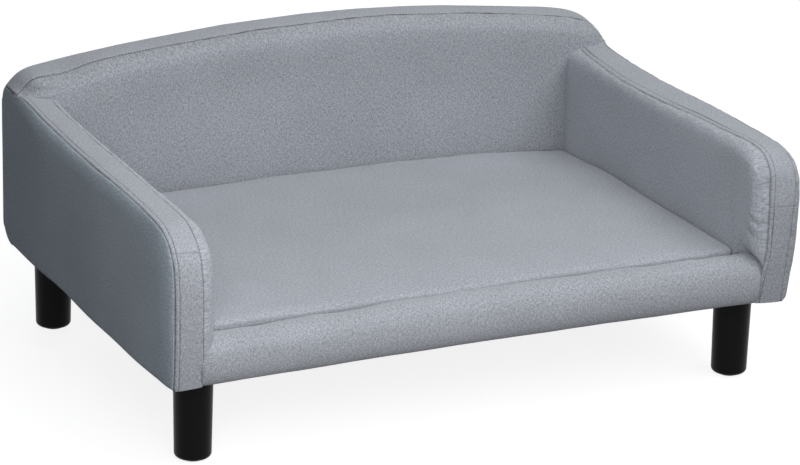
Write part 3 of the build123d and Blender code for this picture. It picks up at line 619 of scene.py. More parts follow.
def side_panel(side):
    """The outer side of one arm with the backrest's end. The cloth bends widely round the front and
    the top, turns in under the frame, and follows the rounded heel."""
    seam = outer_seam[side]
    tail = sewn_line([seam[-1] / MM] + BACK_CORNER[side], 3)
    outline = even_line(np.concatenate([seam[:-1], tail]), 640)
    heel = joined(*heel_round(62, 12))
    rear = np.concatenate([heel, joined(REAR_Y, np.linspace(0.141, outline[-1, 2], 40))])
    foot_y = np.linspace(outline[0, 1], HEEL_Y, 60)
    foot_z = FOOT_Z + 0.0030 * smooth_step(foot_y, -0.1, 0.27) + 0.0025 * bell(foot_y - 0.1, 0.07)
    foot_z[0] = outline[0, 2]
    foot = joined(foot_y, foot_z)
    plan, away, seam_x = panel_plan(outline, foot, rear, (0.010, 0.004, 5 * MM), (0.004, 0.010, 5 * MM))
    height_up = from_line(plan, np.concatenate([foot, heel[1:]]))[0]
    y = plan[..., 0]
    at_front, middle, at_rear = WALL[side]
    wall = (middle + (at_front - middle) * smooth_step(y, -0.15, -0.27)
            + (at_rear - middle) * smooth_step(y, 0.12, 0.28)
            - (0.0045 + 0.002 * side) * smooth_step(y, 0.25, 0.1) * smooth_step(height_up, 0.085, 0)
            + 1.0 * MM * ripple(plan, 0.22, 31 + side) * smooth_step(away, 0.0, 0.05))
    reach = 0.024 + 0.010 * smooth_step(y, -0.2, -0.27)
    bend = 1 - (1 - np.clip(away / reach, 0, 1)) ** 2.1
    tight = 0.6 if side > 0 else 0.35
    x = seam_x + (wall - seam_x) * (tight * turned_edge(away, 0.010) + (1 - tight) * bend)
    x = x - 0.005 * (1 - turned_edge(height_up, 0.006)) * turned_edge(away, 0.008)
    points = joined(side * x, y, plan[..., 1])
    surface_away = away + 0.4 * np.abs(x - seam_x)
    dip = seam_dip(surface_away, 0.8 * MM) - pucker(points, away, 41 + side, 0.3 * MM)
    points = raised(points, (side, 0, 0), -dip)
    hem = points[:, :1].copy()
    hem[..., 0] = side * HEM_X
    hem[..., 2] = np.maximum(hem[..., 2] + 4.5 * MM, HEM_Z)
    points = np.concatenate([hem, points], axis=1)
    cloth_map = np.concatenate([plan[:, :1] - np.array([0, 0.009]), plan], axis=1)
    # Painted shade along the outer seam's groove.
    mask = OUTER_PAINTED_SHADE[side] * bell(surface_away, 0.8 * MM)
    mask = np.concatenate([mask[:, :1], mask], axis=1)
    # The left side panel wears the bluer, painted-shade copy of the cloth; the right one the front's
    # cloth.
    dress(grid_piece(f"side_panel_{HAND[side]}", points, cloth_map, (side, 0, 0), mask),
          cloth_speckled if side > 0 else cloth_side_painted_blue_shade,
          [f"side_cover_{HAND[side]}", f"arm_wadding_{HAND[side]}"])


for side in HAND:
    side_panel(side)


# %% Inner panels
# How far out the pad lies, the least for its wall and for any point of it, where the front roll's end
# meets it, and its rear edge.
PAD_X, LEAST_WALL_X, LEAST_X, ROLL_END_X, PAD_REAR_Y = 0.3885, 0.3860, 0.3856, 0.4030, 0.256
# Each fold from a point to a point in Y and Z, with its rise in millimetres.
FOLDS = (((-0.3085, 0.220), (-0.294, 0.236), 2.8), ((-0.3075, 0.236), (-0.288, 0.254), 2.4),
         ((-0.308, 0.228), (-0.291, 0.245), -2.4), ((-0.307, 0.211), (-0.288, 0.224), -2.8),
         ((-0.254, 0.184), (-0.272, 0.212), 3.4), ((-0.262, 0.184), (-0.279, 0.208), -2.2),
         ((-0.304, 0.190), (-0.288, 0.202), -2.8), ((-0.300, 0.226), (-0.281, 0.240), 2.2))


def pull_lines(plan, x):
    """The right panel's lower front corner: short folds, and the cloth drawn out to the end of the front
    roll. Gives the new X and a mask of painted shade in the fold valleys and along the roll."""
    shade = np.zeros_like(x)
    for low, high, rise in FOLDS:
        off, along_fold = from_line(plan, np.array([low, high]))
        ends = np.sin(np.pi * np.clip(along_fold, 0.04, 0.96)) ** 0.5
        x = x - 0.6 * rise * MM * bell(off, 0.0028) * ends
        # Painted shade in each fold's valley.
        shade = np.maximum(shade, 0.25 * (rise < 0) * ends * bell(off, 0.0020))
    y, over_rail = plan[..., 0], from_line(plan, rail_section)[0]
    x = x + (np.maximum(x, ROLL_END_X) - x) * bell(over_rail, 0.008) * smooth_step(y, -0.266, -0.284)
    x = x + 1.5 * MM * bell(over_rail, 0.004)
    # Painted shadow along the line where the panel meets the roll.
    return x, np.maximum(shade, 0.5 * bell(over_rail, 0.003) * smooth_step(y, -0.250, -0.262))


def inner_panel(side):
    """The padded panel that faces the seat: a deep soft turn under the seam and a full belly at the
    height of the cushion."""
    seam = inner_seam[side]
    seam = seam[int(np.abs(seam[:corner_of(seam), 2] - 0.148).argmin()):]
    outline = even_line(np.concatenate([seam, seam[-1:] + np.array([[0, 0.010, 0.0]])]), 560)
    rear = np.concatenate([joined(PAD_REAR_Y, np.linspace(DECK_Z, 0.25, 20)), outline[-1:, 1:]])
    foot = np.array([outline[0, 1:], (-0.280, DECK_Z), (PAD_REAR_Y, DECK_Z)])
    plan, away, seam_x = panel_plan(outline, foot, rear, (0.016, None, (3.75 - 1.25 * side) * MM),
                                    (None, 0.016, (3.25 - 0.75 * side) * MM))
    y, z = plan[..., 0], plan[..., 1]
    belly = np.maximum(2.5 * MM * bell(z - 0.16, 0.075) * smooth_step(y, -0.310, -0.285),
                       4.0 * MM * smooth_step(z, 0.155, 0.185) * bell(y + 0.275, 0.03))
    wall = PAD_X - belly + 1.5 * MM * smooth_step(y, 0.222, 0.242)
    wall = wall + 0.9 * MM * ripple(plan, 0.17, 51 + side) * smooth_step(away, 0.0, 0.05)
    wall = np.maximum(wall, LEAST_WALL_X)
    tight = smooth_step(y, -0.235, -0.285) * (side > 0)
    x = seam_x - (seam_x - wall) * (0.6 * turned_edge(away, 0.016 - 0.004 * tight)
                                    + 0.4 * turned_edge(away, 0.034 - 0.013 * tight))
    x, painted_fold_and_roll_shade = pull_lines(plan, x) if side > 0 else (x, 0.0)
    x = np.maximum(x, LEAST_X)
    points = joined(side * x, y, z)
    surface_away = away + 0.4 * np.abs(x - seam_x)
    dip = seam_dip(surface_away, INNER_DEPTH[side] * 0.8 * MM)
    dip = dip - pucker(points, away, 61 + side, 0.4 * MM, 18 * MM, 20 * MM)
    # Painted shade along the inner seam, and on the right the painted fold and roll shade.
    mask = np.maximum(INNER_PAINTED_SHADE[side] * bell(surface_away, 0.9 * MM), painted_fold_and_roll_shade)
    outward = (-side, 0, 0)
    # The inner panels wear the lighter, painted-light copy of the cloth.
    dress(grid_piece(f"inner_panel_{HAND[side]}", raised(points, outward, -dip), plan, outward, mask),
          cloth_inner_painted_light, [f"arm_inner_cover_{HAND[side]}", f"arm_inner_foam_{HAND[side]}"])


for side in HAND:
    inner_panel(side)

# %% [markdown]
# ## Backrest
# Three panels: a deep padded front, a band over the arch and a flat rear that wraps under the heel. The
# front seam dips and straightens near the left end, as if the band was eased round the corner there.
# The front panel rolls back over a wide round under that seam, swells a little at sitting height and
# draws back where it meets the arms.

# %% Backrest seams
front_arch = sewn_line([(-447, 257, 343.5), (-440, 260, 346.5), (-434.5, 262, 350.5)] + [
    (x, 263, z) for x, z in (
    (-430, 356), (-423.6, 360.4), (-414.8, 363.4), (-394.7, 364.3), (-378, 365), (-365, 368),
    (-352.3, 372), (-334, 376.7), (-293, 382), (-230, 387.5), (-166, 392), (-80, 397.5), (0, 398.5),
    (57, 399.5), (125, 397.5), (178, 393), (239, 388.5), (321, 378.5), (389, 368.3), (409, 364),
    (423, 360.3))
] + [(436, 262, 354), (447, 260, 345), (453.5, 258, 336.5), (457, 255, 328.5)], 4)
rear_arch = sewn_line([(x, 306, z) for x, z in (
    (-444.5, 341.5), (-438, 349.3), (-428, 358.5), (-414, 364.9), (-400, 367.3), (-352, 374.3),
    (-275, 383.5), (-198, 390), (-120, 396), (0, 399.5), (79, 398.5), (160, 394.5), (221, 389.5),
    (325, 378), (380, 371), (406, 366.8), (424, 362.8), (439, 357), (450, 350), (456.5, 342),
    (458.5, 333))], 5)
print("front arch", round(line_length(front_arch), 3), "m, rear arch", round(line_length(rear_arch), 3))


def arch_columns(arch):
    """X places across an arch: one every 6 mm, and closer ones by a cosine over the round ends."""
    first, last, end = arch[:, 0].min(), arch[:, 0].max(), 0.04
    closer = end * (1 - np.cos(np.radians(np.linspace(0, 90, 18))))
    middle = np.linspace(first + end, last - end, int((last - first) / (6 * MM)))
    return np.concatenate([first + closer, middle[1:-1], last - closer[::-1]])


# %% Backrest front panel
# The face's place, the height where it starts to bend back, and its lower edge behind the arms.
FACE_Y, BEND_Z, BEHIND_ARM_Z = 0.2335, 0.335, 0.300
columns = arch_columns(front_arch)
crest = np.interp(columns, front_arch[:, 0], front_arch[:, 2])[:, None]
seam_y = np.interp(columns, front_arch[:, 0], front_arch[:, 1])[:, None]
low = DECK_Z + (BEHIND_ARM_Z - DECK_Z) * smooth_step(np.abs(columns), 0.397, 0.403)[:, None]
bend_at = np.minimum(BEND_Z, crest - 0.008)
z = np.concatenate([low + (bend_at - low) * np.linspace(0, 1, 34)[:-1],
                    bend_at + (crest - bend_at) * rows_between(0.064, None, 0.026, 2 * MM)], axis=1)
flat = joined(columns[:, None], z)
x = flat[..., 0]
away = from_line(flat, front_arch[:, (0, 2)])[0]
swell = 5.0 * MM * bell(z - 0.215, 0.075) * smooth_step(np.abs(x), 0.385, 0.2)
draw = 3.5 * MM * smooth_step(np.abs(x), 0.365, 0.396) * smooth_step(z, 0.33, 0.28)
face = FACE_Y - swell + draw + 1.1 * MM * ripple(flat, 0.2, 71) * smooth_step(away, 0, 0.06)
pinch = bell(x + 0.422, 0.024)
crease = pinch * bell(z - 0.3515, 0.0036)
face = face + 6.0 * MM * crease - 2.0 * MM * pinch * bell(z - 0.3445, 0.0035)
y = seam_y - (seam_y - face) * (0.65 * turned_edge(away, 0.02) + 0.35 * turned_edge(away, 0.045))
points = joined(x, y, z)
surface_away = away + 0.5 * np.abs(seam_y - y)
dip = seam_dip(surface_away, 0.8 * MM) - pucker(points, away, 72, 0.4 * MM, 20 * MM, 24 * MM)
# Painted shade: the mask darkens the cloth along the arch seam and in the crease valley near the left
# arm.
mask = np.maximum(0.5 * bell(surface_away, 0.8 * MM), 0.22 * crease)
# The backrest's front wears the darker, painted-shade copy of the cloth.
dress(grid_piece("back_front_panel", raised(points, (0, -1, 0), -dip), flat, (0, -1, 0), mask),
      cloth_back_painted_shade, ["back_front_cover", "back_front_foam"])

# %% Backrest band
across = rows_between(0.043, 0.004, 0.004, 3 * MM)
shares = np.linspace(0, 1, 320)
points = strip_between(front_arch, rear_arch, shares, across)
to_front = across * width_of(points)
height = crowned(across, 1.6 * MM) - seam_dip(to_front, 0.8 * MM) + 0.5 * MM * ripple(points, 0.12, 81)
height = height + pucker(points, to_front, 82, 0.35 * MM, 12 * MM, 22 * MM)
cloth_map = joined(shares[:, None] * line_length(front_arch), to_front)
# The mask is painted shade along the front seam.
dress(grid_piece("back_band_over_arch", raised(points, (0, 0, 1), height), cloth_map, (0, 0, 1),
                 0.5 * bell(to_front, 0.8 * MM)),
      cloth_smooth, ["back_band", "back_top_foam"])

# %% Backrest rear panel
left_end, right_end = -WALL[-1][2], WALL[1][2]
PLUMP, END_Z = 0.0035, 0.322
rear_outline = np.concatenate([[(left_end, 0.306, END_Z)], rear_arch, [(right_end, 0.306, END_Z)]])
columns = arch_columns(rear_outline)[:, None]
crest = np.interp(columns, rear_outline[:, 0], rear_outline[:, 2])
wall_z = HEEL_Z + (crest - HEEL_Z) * rows_between(0.24, None, 0.004, 6 * MM)
flat = joined(columns, wall_z)
to_end = np.where(flat[..., 0] < 0, -left_end, right_end) - np.abs(flat[..., 0])
away = from_line(flat, rear_outline[:, (0, 2)])[0]
turned = turned_edge(np.minimum(away, to_end), 0.004)
wall_y = REAR_Y + PLUMP * turned + 0.7 * MM * ripple(flat, 0.25, 91) * smooth_step(away, 0, 0.05)
heel_y, heel_z = heel_round(86, 14)
y = np.concatenate([heel_y - PLUMP * (1 - turned[:, :1]), wall_y], axis=1)
z = np.concatenate([heel_z + 0 * columns, wall_z], axis=1)
x = columns * (1 - 0.011 * (1 - turned_edge(z - 0.1365, 0.006)))
# The rear panel wears the bluer, painted-shade copy of the cloth.
dress(grid_piece("back_rear_panel", joined(x, y, z), joined(x, z), (0, 1, 0)), cloth_side_painted_blue_shade,
      ["back_rear_cover", "back_wadding"])

# %% [markdown]
# ## The padded front rail
# A roll of foam runs between the arms over the front board, under its own cover. Its section is a path
# in the upright plane, from the back of the roll over the top and down the front to the staples below,
# carried along X. The ends are plumper than the gap they sit in, so they round off into the arms, and
# the lower edge is pulled up a little in the middle.

# %% Front rail
ROLL_Z = 0.150
# How many millimetres the roll's top is lifted at an X.
CREST = {-0.41: -4.6, -0.34: -5.0, -0.29: -4.8, -0.25: -3.2, -0.21: -1.4, -0.15: -1.0, -0.10: 0.8,
         -0.04: 1.6, 0.03: 0.6, 0.10: 0.0, 0.27: 0.0, 0.332: -2.0, 0.375: -0.3, 0.41: 0.0}
section = at_shares(rail_section, np.linspace(0, 1, 72))
left, right = (np.interp(section[:, 1], inner_seam[side][:50, 2], np.abs(inner_seam[side][:50, 0]))
               for side in (-1, 1))
along = rows_between(0.812, 0.020, 0.020, 5 * MM)[:, None]
x, y, z = np.broadcast_arrays(-left * (1 - along) + right * along, section[:, 0], section[:, 1])
to_end = np.minimum(along, 1 - along) * 0.81 + 0 * x
shrink = 1 - np.where(x < 0, turned_edge(to_end, 0.020), turned_edge(to_end, 0.009))
z = z + (ROLL_Z - z) * np.where(z > ROLL_Z, np.where(x < 0, 0.58, 0.18), 0.0) * shrink
z = z + MM * np.interp(x, list(CREST), list(CREST.values())) * smooth_step(z, 0.160, 0.18)
y = y + 2.0 * MM * shrink * smooth_step(y, -0.290, -0.305)
x = x + np.sign(x) * 2.0 * MM * shrink
hem = smooth_step(z, 0.16, 0.123) * smooth_step(y, -0.290, -0.302)
z = z - 3.6 * MM * (x / 0.40) ** 2 * hem
points = joined(x, y, z)
relief = 0.7 * MM * ripple(points, 0.16, 101) + 0.35 * MM * ripple(points, 0.045, 102)
gather = smooth_step(z, 0.168, 0.18) * smooth_step(y, -0.285, -0.268)
relief = relief + 0.7 * MM * ripple(points * np.array([1.0, 0.2, 0.2]), 0.05, 103) * gather
relief = relief * smooth_step(to_end, 0.0, 0.02) * (1 - 0.8 * hem) - seam_dip(to_end, 0.5 * MM)
points = raised(points, (0, -1, 0.6), relief)
cloth_map = joined(x, np.linspace(0, line_length(rail_section), len(section)))
# Painted shade where the roll's ends tuck against the arms.
mask = 0.4 * bell(to_end, 0.9 * MM)
tucks = points[[0, -1]]
in_front = smooth_step(tucks[..., 1], -0.300, -0.303)
tucks[..., 0] += np.sign(tucks[..., 0]) * (0.5 + 8.0 * in_front) * MM
tucks[..., 1] = np.where(in_front > 0, np.maximum(tucks[..., 1], -0.3008), tucks[..., 1])
points = np.concatenate([tucks[:1], points, tucks[1:]])
cloth_map, mask = (np.concatenate([rows[:1], rows, rows[-1:]]) for rows in (cloth_map, mask))
dress(grid_piece("front_rail_roll", points, cloth_map, (0, -1, 0.6), mask), cloth_speckled,
      ["rail_cover", "rail_foam"])

# %% [markdown]
# ## The loose cushion
# The cushion is a sewn box: a top and a bottom panel and a border between, filled with foam. It could
# be a rounded block with some noise, but a real one swells between its seams and pulls in at them. So
# a slightly small box with a crown is made of rings, remeshed to even quads, blown up by the cloth
# solver for twenty frames with no gravity, held to its place, and smoothed once. The seams are sunk in
# afterwards, because the remesh would wipe them out.

# %% Cushion shape
# Heights, then the box that is blown up, then the room that the cushion is held in. The border's rings
# are an inset in millimetres and a height each.
BASE, LOW, EDGE, TOP = 0.1450, 0.1460, 0.1855, 0.1955
HALF_X, NEAR, FAR = 0.3895, -0.2645, 0.2300
HELD_X, HELD_NEAR, HELD_FAR = 0.3850, -0.2608, 0.2278
MIDDLE_Y, HALF_Y = (NEAR + FAR) / 2, (FAR - NEAR) / 2
SEAM_LEVELS = (0.1715, 0.1545)
BORDER = ((1.0, 0.1838), (0.0, 0.1800), (0.4, 0.172), (1.5, 0.168), (2.0, 0.163), (1.5, 0.158),
          (0.6, 0.154), (0.0, 0.151), (1.5, 0.1475), (5.0, 0.1462))


def cushion_plan(turn, inset=0.0, share=1.0):
    """Plan of the cushion at an angle: a rectangle with small round corners, which is a circle with
    the power 60 instead of 2, less an even inset, and then a share of it."""
    c, s = np.cos(turn), np.sin(turn)
    size = share * (np.abs(c) ** 60 + np.abs(s) ** 60) ** (-1 / 60)
    return size * c * (HALF_X - inset), MIDDLE_Y + size * s * (HALF_Y - inset)


def cushion_crown(x, y):
    """Height of the top: it falls to both sides by the power 2.4 of the share of the half width, and
    to the front and the rear by the fourth power, nearly to the edge at the front only."""
    u, v = np.clip(np.abs(x) / HALF_X, 0, 1), (y - MIDDLE_Y) / HALF_Y
    fall = np.where(v < 0, 0.9, 0.25) * v ** 4
    corner = 0.009 * smooth_step(y, 0.02, 0.25) * u ** 3
    return EDGE - corner + (TOP - EDGE) * (1 - u ** 2.4) * (1 - fall)


def cushion_rings():
    """Rings from the middle of the top over the edge and the border to the middle of the bottom."""
    turn = np.linspace(0, 2 * np.pi, 420, endpoint=False)
    rings = []
    for share in np.linspace(0.02, 0.985, 42):
        x, y = cushion_plan(turn, share=share)
        rings.append(joined(x, y, cushion_crown(x, y)))
    for inset, level in BORDER:
        x, y = cushion_plan(turn, inset * MM)
        lift = (cushion_crown(x, y) - EDGE) * (level - BASE) / (EDGE - BASE)
        rings.append(joined(x, y, level + lift))
    for share in np.linspace(0.97, 0.02, 14):
        rings.append(joined(*cushion_plan(turn, share=share), LOW))
    return np.array(rings)


def settled(piece):
    """Turns a piece's modifiers into its mesh, and gives that."""
    bpy.context.view_layer.update()
    mesh = bpy.data.meshes.new_from_object(piece.evaluated_get(bpy.context.evaluated_depsgraph_get()))
    piece.modifiers.clear()
    piece.data = mesh
    return mesh


rings = cushion_rings()
levels, count = rings.shape[:2]
ends = [list(range(count)), list(range(levels * count - 1, (levels - 1) * count - 1, -1))]
box = bpy.data.meshes.new("cushion")
quads = grid_faces(levels, count, closed=True)
box.from_pydata(rings.reshape(-1, 3).tolist(), [], quads.tolist() + ends)
cushion = placed("seat_cushion_cover", box)
remesh = cushion.modifiers.new("even quads", "REMESH")
remesh.mode, remesh.voxel_size = "VOXEL", 0.0055
print("cushion remeshed to", len(settled(cushion).polygons), "faces")


# %% Cushion swelling
def vertex_places(mesh):
    """All vertex places of a mesh as one array."""
    return read(mesh.vertices, "co", 3).astype(float)


def place_vertices(mesh, places):
    """Writes all vertex places of a mesh from one array."""
    mesh.vertices.foreach_set("co", places.astype(np.float32).ravel())
    mesh.update()


before = vertex_places(cushion.data)
cloth = cushion.modifiers.new("swell", "CLOTH")
cloth.settings.quality = 5
cloth.settings.use_pressure = True
cloth.settings.uniform_pressure_force = 4.0
cloth.settings.effector_weights.gravity = 0.0
cloth.settings.mass = 0.3
cloth.settings.tension_stiffness = cloth.settings.compression_stiffness = 25
cloth.settings.bending_stiffness = 1.5
cloth.collision_settings.use_collision = False
cloth.point_cache.frame_start, cloth.point_cache.frame_end = 1, 20
for moment in range(1, 21):
    scene.frame_set(moment)
blown = settled(cushion)
scene.frame_set(1)
moved = vertex_places(blown) - before
far = np.linalg.norm(moved, axis=1)
cap = 3.5 * MM
moved *= np.minimum(1, cap * np.tanh(far / cap) / np.maximum(far, 1e-9))[:, None]
moved[:, 2] *= 0.55
place_vertices(blown, before + moved)
print("cushion swelled by up to", round(float(np.linalg.norm(moved, axis=1).max()) / MM, 1), "mm")
smooth = cushion.modifiers.new("smooth", "SUBSURF")
smooth.levels = smooth.render_levels = 1
fine = settled(cushion)

# %% Cushion seams and fit
places = vertex_places(fine)
places[:, 0] = np.clip(places[:, 0], -HELD_X, HELD_X)
places[:, 1] = np.clip(places[:, 1], HELD_NEAR, HELD_FAR)
px, py, pz = places.T
to_edge = np.minimum(np.abs(np.abs(px) - HELD_X),
                     np.minimum(np.abs(py - HELD_NEAR), np.abs(py - HELD_FAR)))
beside = to_edge < 0.02
off_plan = np.full(len(places), 1.0)
seam_plan = joined(*cushion_plan(np.linspace(0, 2 * np.pi, 1400), 0.6 * MM))
off_plan[beside] = from_line(places[beside, :2], seam_plan)[0]
sunk, mask = np.zeros(len(places)), np.zeros(len(places))
for level in SEAM_LEVELS:
    gap = np.hypot(np.maximum(off_plan - 0.006, 0), pz - level)
    sunk = np.maximum(sunk, 1.4 * MM * bell(gap, 2.2 * MM))
    # Painted shade along both border seams.
    mask = np.maximum(mask, bell(gap, 0.9 * MM))
at_side = (np.abs(px) / HALF_X > np.abs(py - MIDDLE_Y) / HALF_Y)[:, None]
places[:, :2] += sunk[:, None] * np.where(at_side, joined(-np.sign(px), 0),
                                          joined(0, -np.sign(py - MIDDLE_Y)))
relief = 0.9 * MM * ripple(places[:, :2], 0.21, 111) + 0.35 * MM * ripple(places[:, :2], 0.07, 112)
places[:, 2] = np.maximum(pz + smooth_step(pz, 0.174, 0.184) * relief, 0.1455)
place_vertices(fine, places)
normals = np.abs(read(fine.polygons, "normal", 3))
totals = read(fine.polygons, "loop_total", kind=np.int32)
corner_places = places[read(fine.loops, "vertex_index", kind=np.int32)]
level_way = np.repeat(normals[:, 2] > 0.6, totals)[:, None]
x_way = np.repeat(normals[:, 0] > normals[:, 1], totals)[:, None]
side_map = np.where(x_way, corner_places[:, (1, 2)], corner_places[:, (0, 2)])
for old in list(fine.uv_layers):
    fine.uv_layers.remove(old)
mark_cloth(fine, np.where(level_way, corner_places[:, :2], side_map), mask)
fine.materials.clear()
dress(cushion, cloth_smooth, ["cushion_cover", "cushion_foam"], body="seat_cushion")
print("cushion top at", round(float(places[:, 2].max()), 4), "m")

# %% [markdown]
# ## Stitching
# A seam shows as a dark line, and beside some of them runs a topstitch, a row of short thread lengths
# that dip into the cloth at both ends. Each stitch is a small capsule with few faces. One capsule is
# worked out, and every copy is that array turned into its own place along the seam, all at once.

# %% Thread
def thread_cloth(name, dark, light):
    """Matt sewing thread with a fine twist, from Object coordinates."""
    material, tree, shader = plain_material(name)
    twist = noise(tree.nodes.new("ShaderNodeTexCoord").outputs["Object"], 900.0)
    plug(shader, {"Base Color": blend_colour(twist, dark, light), "Normal": bump(twist, 0.1 * MM, 0.5),
                  "Roughness": 0.8})
    return material


dark_thread = thread_cloth("sewing_thread_dark", (0.035, 0.042, 0.058), (0.085, 0.098, 0.12))
pale_thread = thread_cloth("sewing_thread_pale", (0.13, 0.14, 0.16), (0.22, 0.23, 0.26))


def stitch_row(name, line, normal, length, pitch, radius, finish=dark_thread, body="sofa_frame"):
    """Capsules along a line: rings of six points whose radius follows a half circle over the length,
    set at even distances, each in the frame of the line's direction and the cloth's normal."""
    count = max(2, int(line_length(line) / pitch))
    number = np.arange(count)
    middle = at_shares(line, (number + 0.5) / count)
    ahead = unit(at_shares(line, (number + 0.75) / count) - at_shares(line, (number + 0.25) / count))
    normal = at_shares(np.broadcast_to(np.array(normal, float), line.shape), (number + 0.5) / count)
    sideways = unit(np.cross(ahead, normal))
    normal = np.cross(sideways, ahead)
    ring = np.array([(-0.5, 0.35), (-0.4, 0.85), (0.0, 1.0), (0.4, 0.85), (0.5, 0.35)])
    turn = np.radians(np.arange(0, 360, 60))
    local = np.array([(s * length, r * radius * np.cos(t), r * radius * np.sin(t)
                       - (2 * s) ** 2 * 0.25 * MM) for s, r in ring for t in turn])
    shape = middle[:, None] + sum(local[:, k:k + 1] * axis[:, None]
                                  for k, axis in enumerate((ahead, sideways, normal)))
    quads = grid_faces(len(ring), 6, closed=True)[:, (0, 3, 2, 1)]
    caps = np.array([range(5, -1, -1), range(len(local) - 6, len(local))])
    offsets = number[:, None, None] * len(local)
    mesh = bpy.data.meshes.new(name)
    mesh.from_pydata(shape.reshape(-1, 3).tolist(), [], (quads + offsets).reshape(-1, 4).tolist()
                     + (caps + offsets).reshape(-1, 6).tolist())
    mesh.shade_smooth()
    print(count, "capsules in a row:", end=" ")
    dress(placed(name, mesh), finish, [], body=body)


for side, name in HAND.items():
    share = TOPSTITCH[side]
    points = strip_between(inner_seam[side], outer_seam[side], np.linspace(0.0, 0.99, 400),
                           np.array([share - 0.02, share, share + 0.02]))
    normal = facing(points, (0, -0.6, 1.0))[:, 1]
    stitch_row(f"topstitch_arm_{name}", points[:, 1] + normal * MM, normal, 3.2 * MM, 4.4 * MM,
               0.42 * MM)
stitch_row("stitch_backrest", front_arch - np.array([0, 0, 0.5 * MM]), (0.0, -0.35, 1.0), 2.6 * MM,
           4.4 * MM, 0.6 * MM)
line = inner_seam[-1][:corner_of(inner_seam[-1]) + 45] + np.array([0.3, -0.5, 0.2]) * MM
stitch_row("stitch_inner_seam_left", line, (0.4, -0.8, 0.4), 2.4 * MM, 4.6 * MM, 0.4 * MM, pale_thread)

# %% [markdown]
# ## The zip
# A coil zip closes the border at the back of the cushion. The tape is a thin woven strip, and the coil
# is a row of small loops laid side by side. The loops are made as short capsules across the closure, by
# the same whole-array way as the stitches. The slider is the frame's own node.

# %% Zip
TAPE_HALF, TAPE_Y, COIL_Y = 0.0072, 0.2292, 0.2298
tape_low, tape_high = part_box("zip_chain")
zip_z = (tape_low[2] + tape_high[2]) / 2
across = np.linspace(-TAPE_HALF, TAPE_HALF, 9)
points = joined(np.linspace(tape_low[0], tape_high[0], 130)[:, None],
                TAPE_Y + 0.25 * MM * np.cos(across / TAPE_HALF * np.pi), zip_z + across)
tape = grid_piece("zip_tape", points, points[..., (0, 2)], (0, 1, 0), thickness=0.7 * MM)
coil_line = joined(np.linspace(tape_low[0] + 0.008, tape_high[0] - 0.008, 300), COIL_Y, zip_z)
print("zip tape", round(tape_high[0] - tape_low[0], 3), "m")

# %% [markdown]
# ## Dust cloth
# Black non-woven cloth closes the underside. It is stapled along the rails and hangs a millimetre or
# so between them.

# %% Dust cloth
SHEET_X, SHEET_Y, SHEET_MIDDLE_Y, SHEET_Z = 0.4405, 0.2865, -0.011, 0.12355
flat = joined(np.linspace(-SHEET_X, SHEET_X, 90)[:, None],
              SHEET_MIDDLE_Y + np.linspace(-SHEET_Y, SHEET_Y, 60))
x, y = flat[..., 0], flat[..., 1]
slack = np.clip((1 - (x / SHEET_X) ** 2) * (1 - ((y - SHEET_MIDDLE_Y) / SHEET_Y) ** 2), 0, 1)
z = SHEET_Z - 1.6 * MM * slack ** 1.5 * smooth_step(0.40 - np.abs(x), 0.0, 0.06)
z = z - 0.5 * MM * ripple(flat, 0.12, 121) * slack
dust = grid_piece("dust_cloth", joined(x, y, z), flat, (0, 0, -1), thickness=0.4 * MM)
print("dust cloth", len(dust.data.polygons), "quads")

# %% [markdown]
# ## Finishes of the rigid parts
# The frame's own nodes keep their shapes and get better finishes: pine with a grain that runs along
# each rail, thin plywood, brown fibreboard, bright zinc, and moulded black plastic for the legs. Grain
# is one shared group that stretches a noise along an axis, so each timber names the axis it was sawn on.

# %% Grain group
grain, grain_in, grain_out = new_group(
    "wood grain", {"Place": None, "Across X": 60.0, "Across Y": 60.0, "Across Z": 60.0},
    ["Rings", "Pores"])
stretched = vector_of(*[times(part, grain_in[f"Across {axis}"])
                        for part, axis in zip(split(grain_in["Place"]), "XYZ")])
rings_wave = calc("FRACT", times(noise(stretched, 1.0, 3.0, 0.55), 9.0))
plug(grain_out, {"Rings": calc("PINGPONG", rings_wave, 0.5), "Pores": noise(stretched, 9.0, 4.0, 0.7)})
print("grain group:", len(grain.nodes), "nodes")


# %% Rigid finishes
def timber(name, dark, light, stretch):
    """Sawn timber: growth rings between two shades, pores as bump, along the axis stretched least."""
    material, tree, shader = plain_material(name)
    place = tree.nodes.new("ShaderNodeTexCoord").outputs["Object"]
    across = {f"Across {axis}": value for axis, value in zip("XYZ", stretch)}
    cut = grouped(tree, grain, {"Place": place, **across})
    shade = add(times(times(cut["Rings"], 2.0), 0.6), times(cut["Pores"], 0.4), clamp=True)
    plug(shader, {"Base Color": blend_colour(shade, dark, light),
                  "Normal": bump(cut["Pores"], 0.3 * MM, 0.5),
                  "Roughness": add(times(cut["Pores"], 0.2), 0.52)})
    return material


def speckled(name, dark, light, scale, roughness, relief, metallic=0.0, specular=0.5):
    """A surface with a fine mottle: two shades, a rougher and a smoother share, and relief in
    millimetres."""
    material, tree, shader = plain_material(name)
    place = tree.nodes.new("ShaderNodeTexCoord").outputs["Object"]
    fine_mottle, broad = noise(place, scale, 4.0, 0.6), noise(place, scale / 14)
    shade = add(times(fine_mottle, 0.7), times(broad, 0.3))
    plug(shader, {"Base Color": blend_colour(shade, dark, light),
                  "Roughness": add(times(broad, 0.2), roughness - 0.1),
                  "Normal": bump(fine_mottle, relief * MM, 0.4), "Metallic": metallic,
                  "Specular IOR Level": specular})
    return material


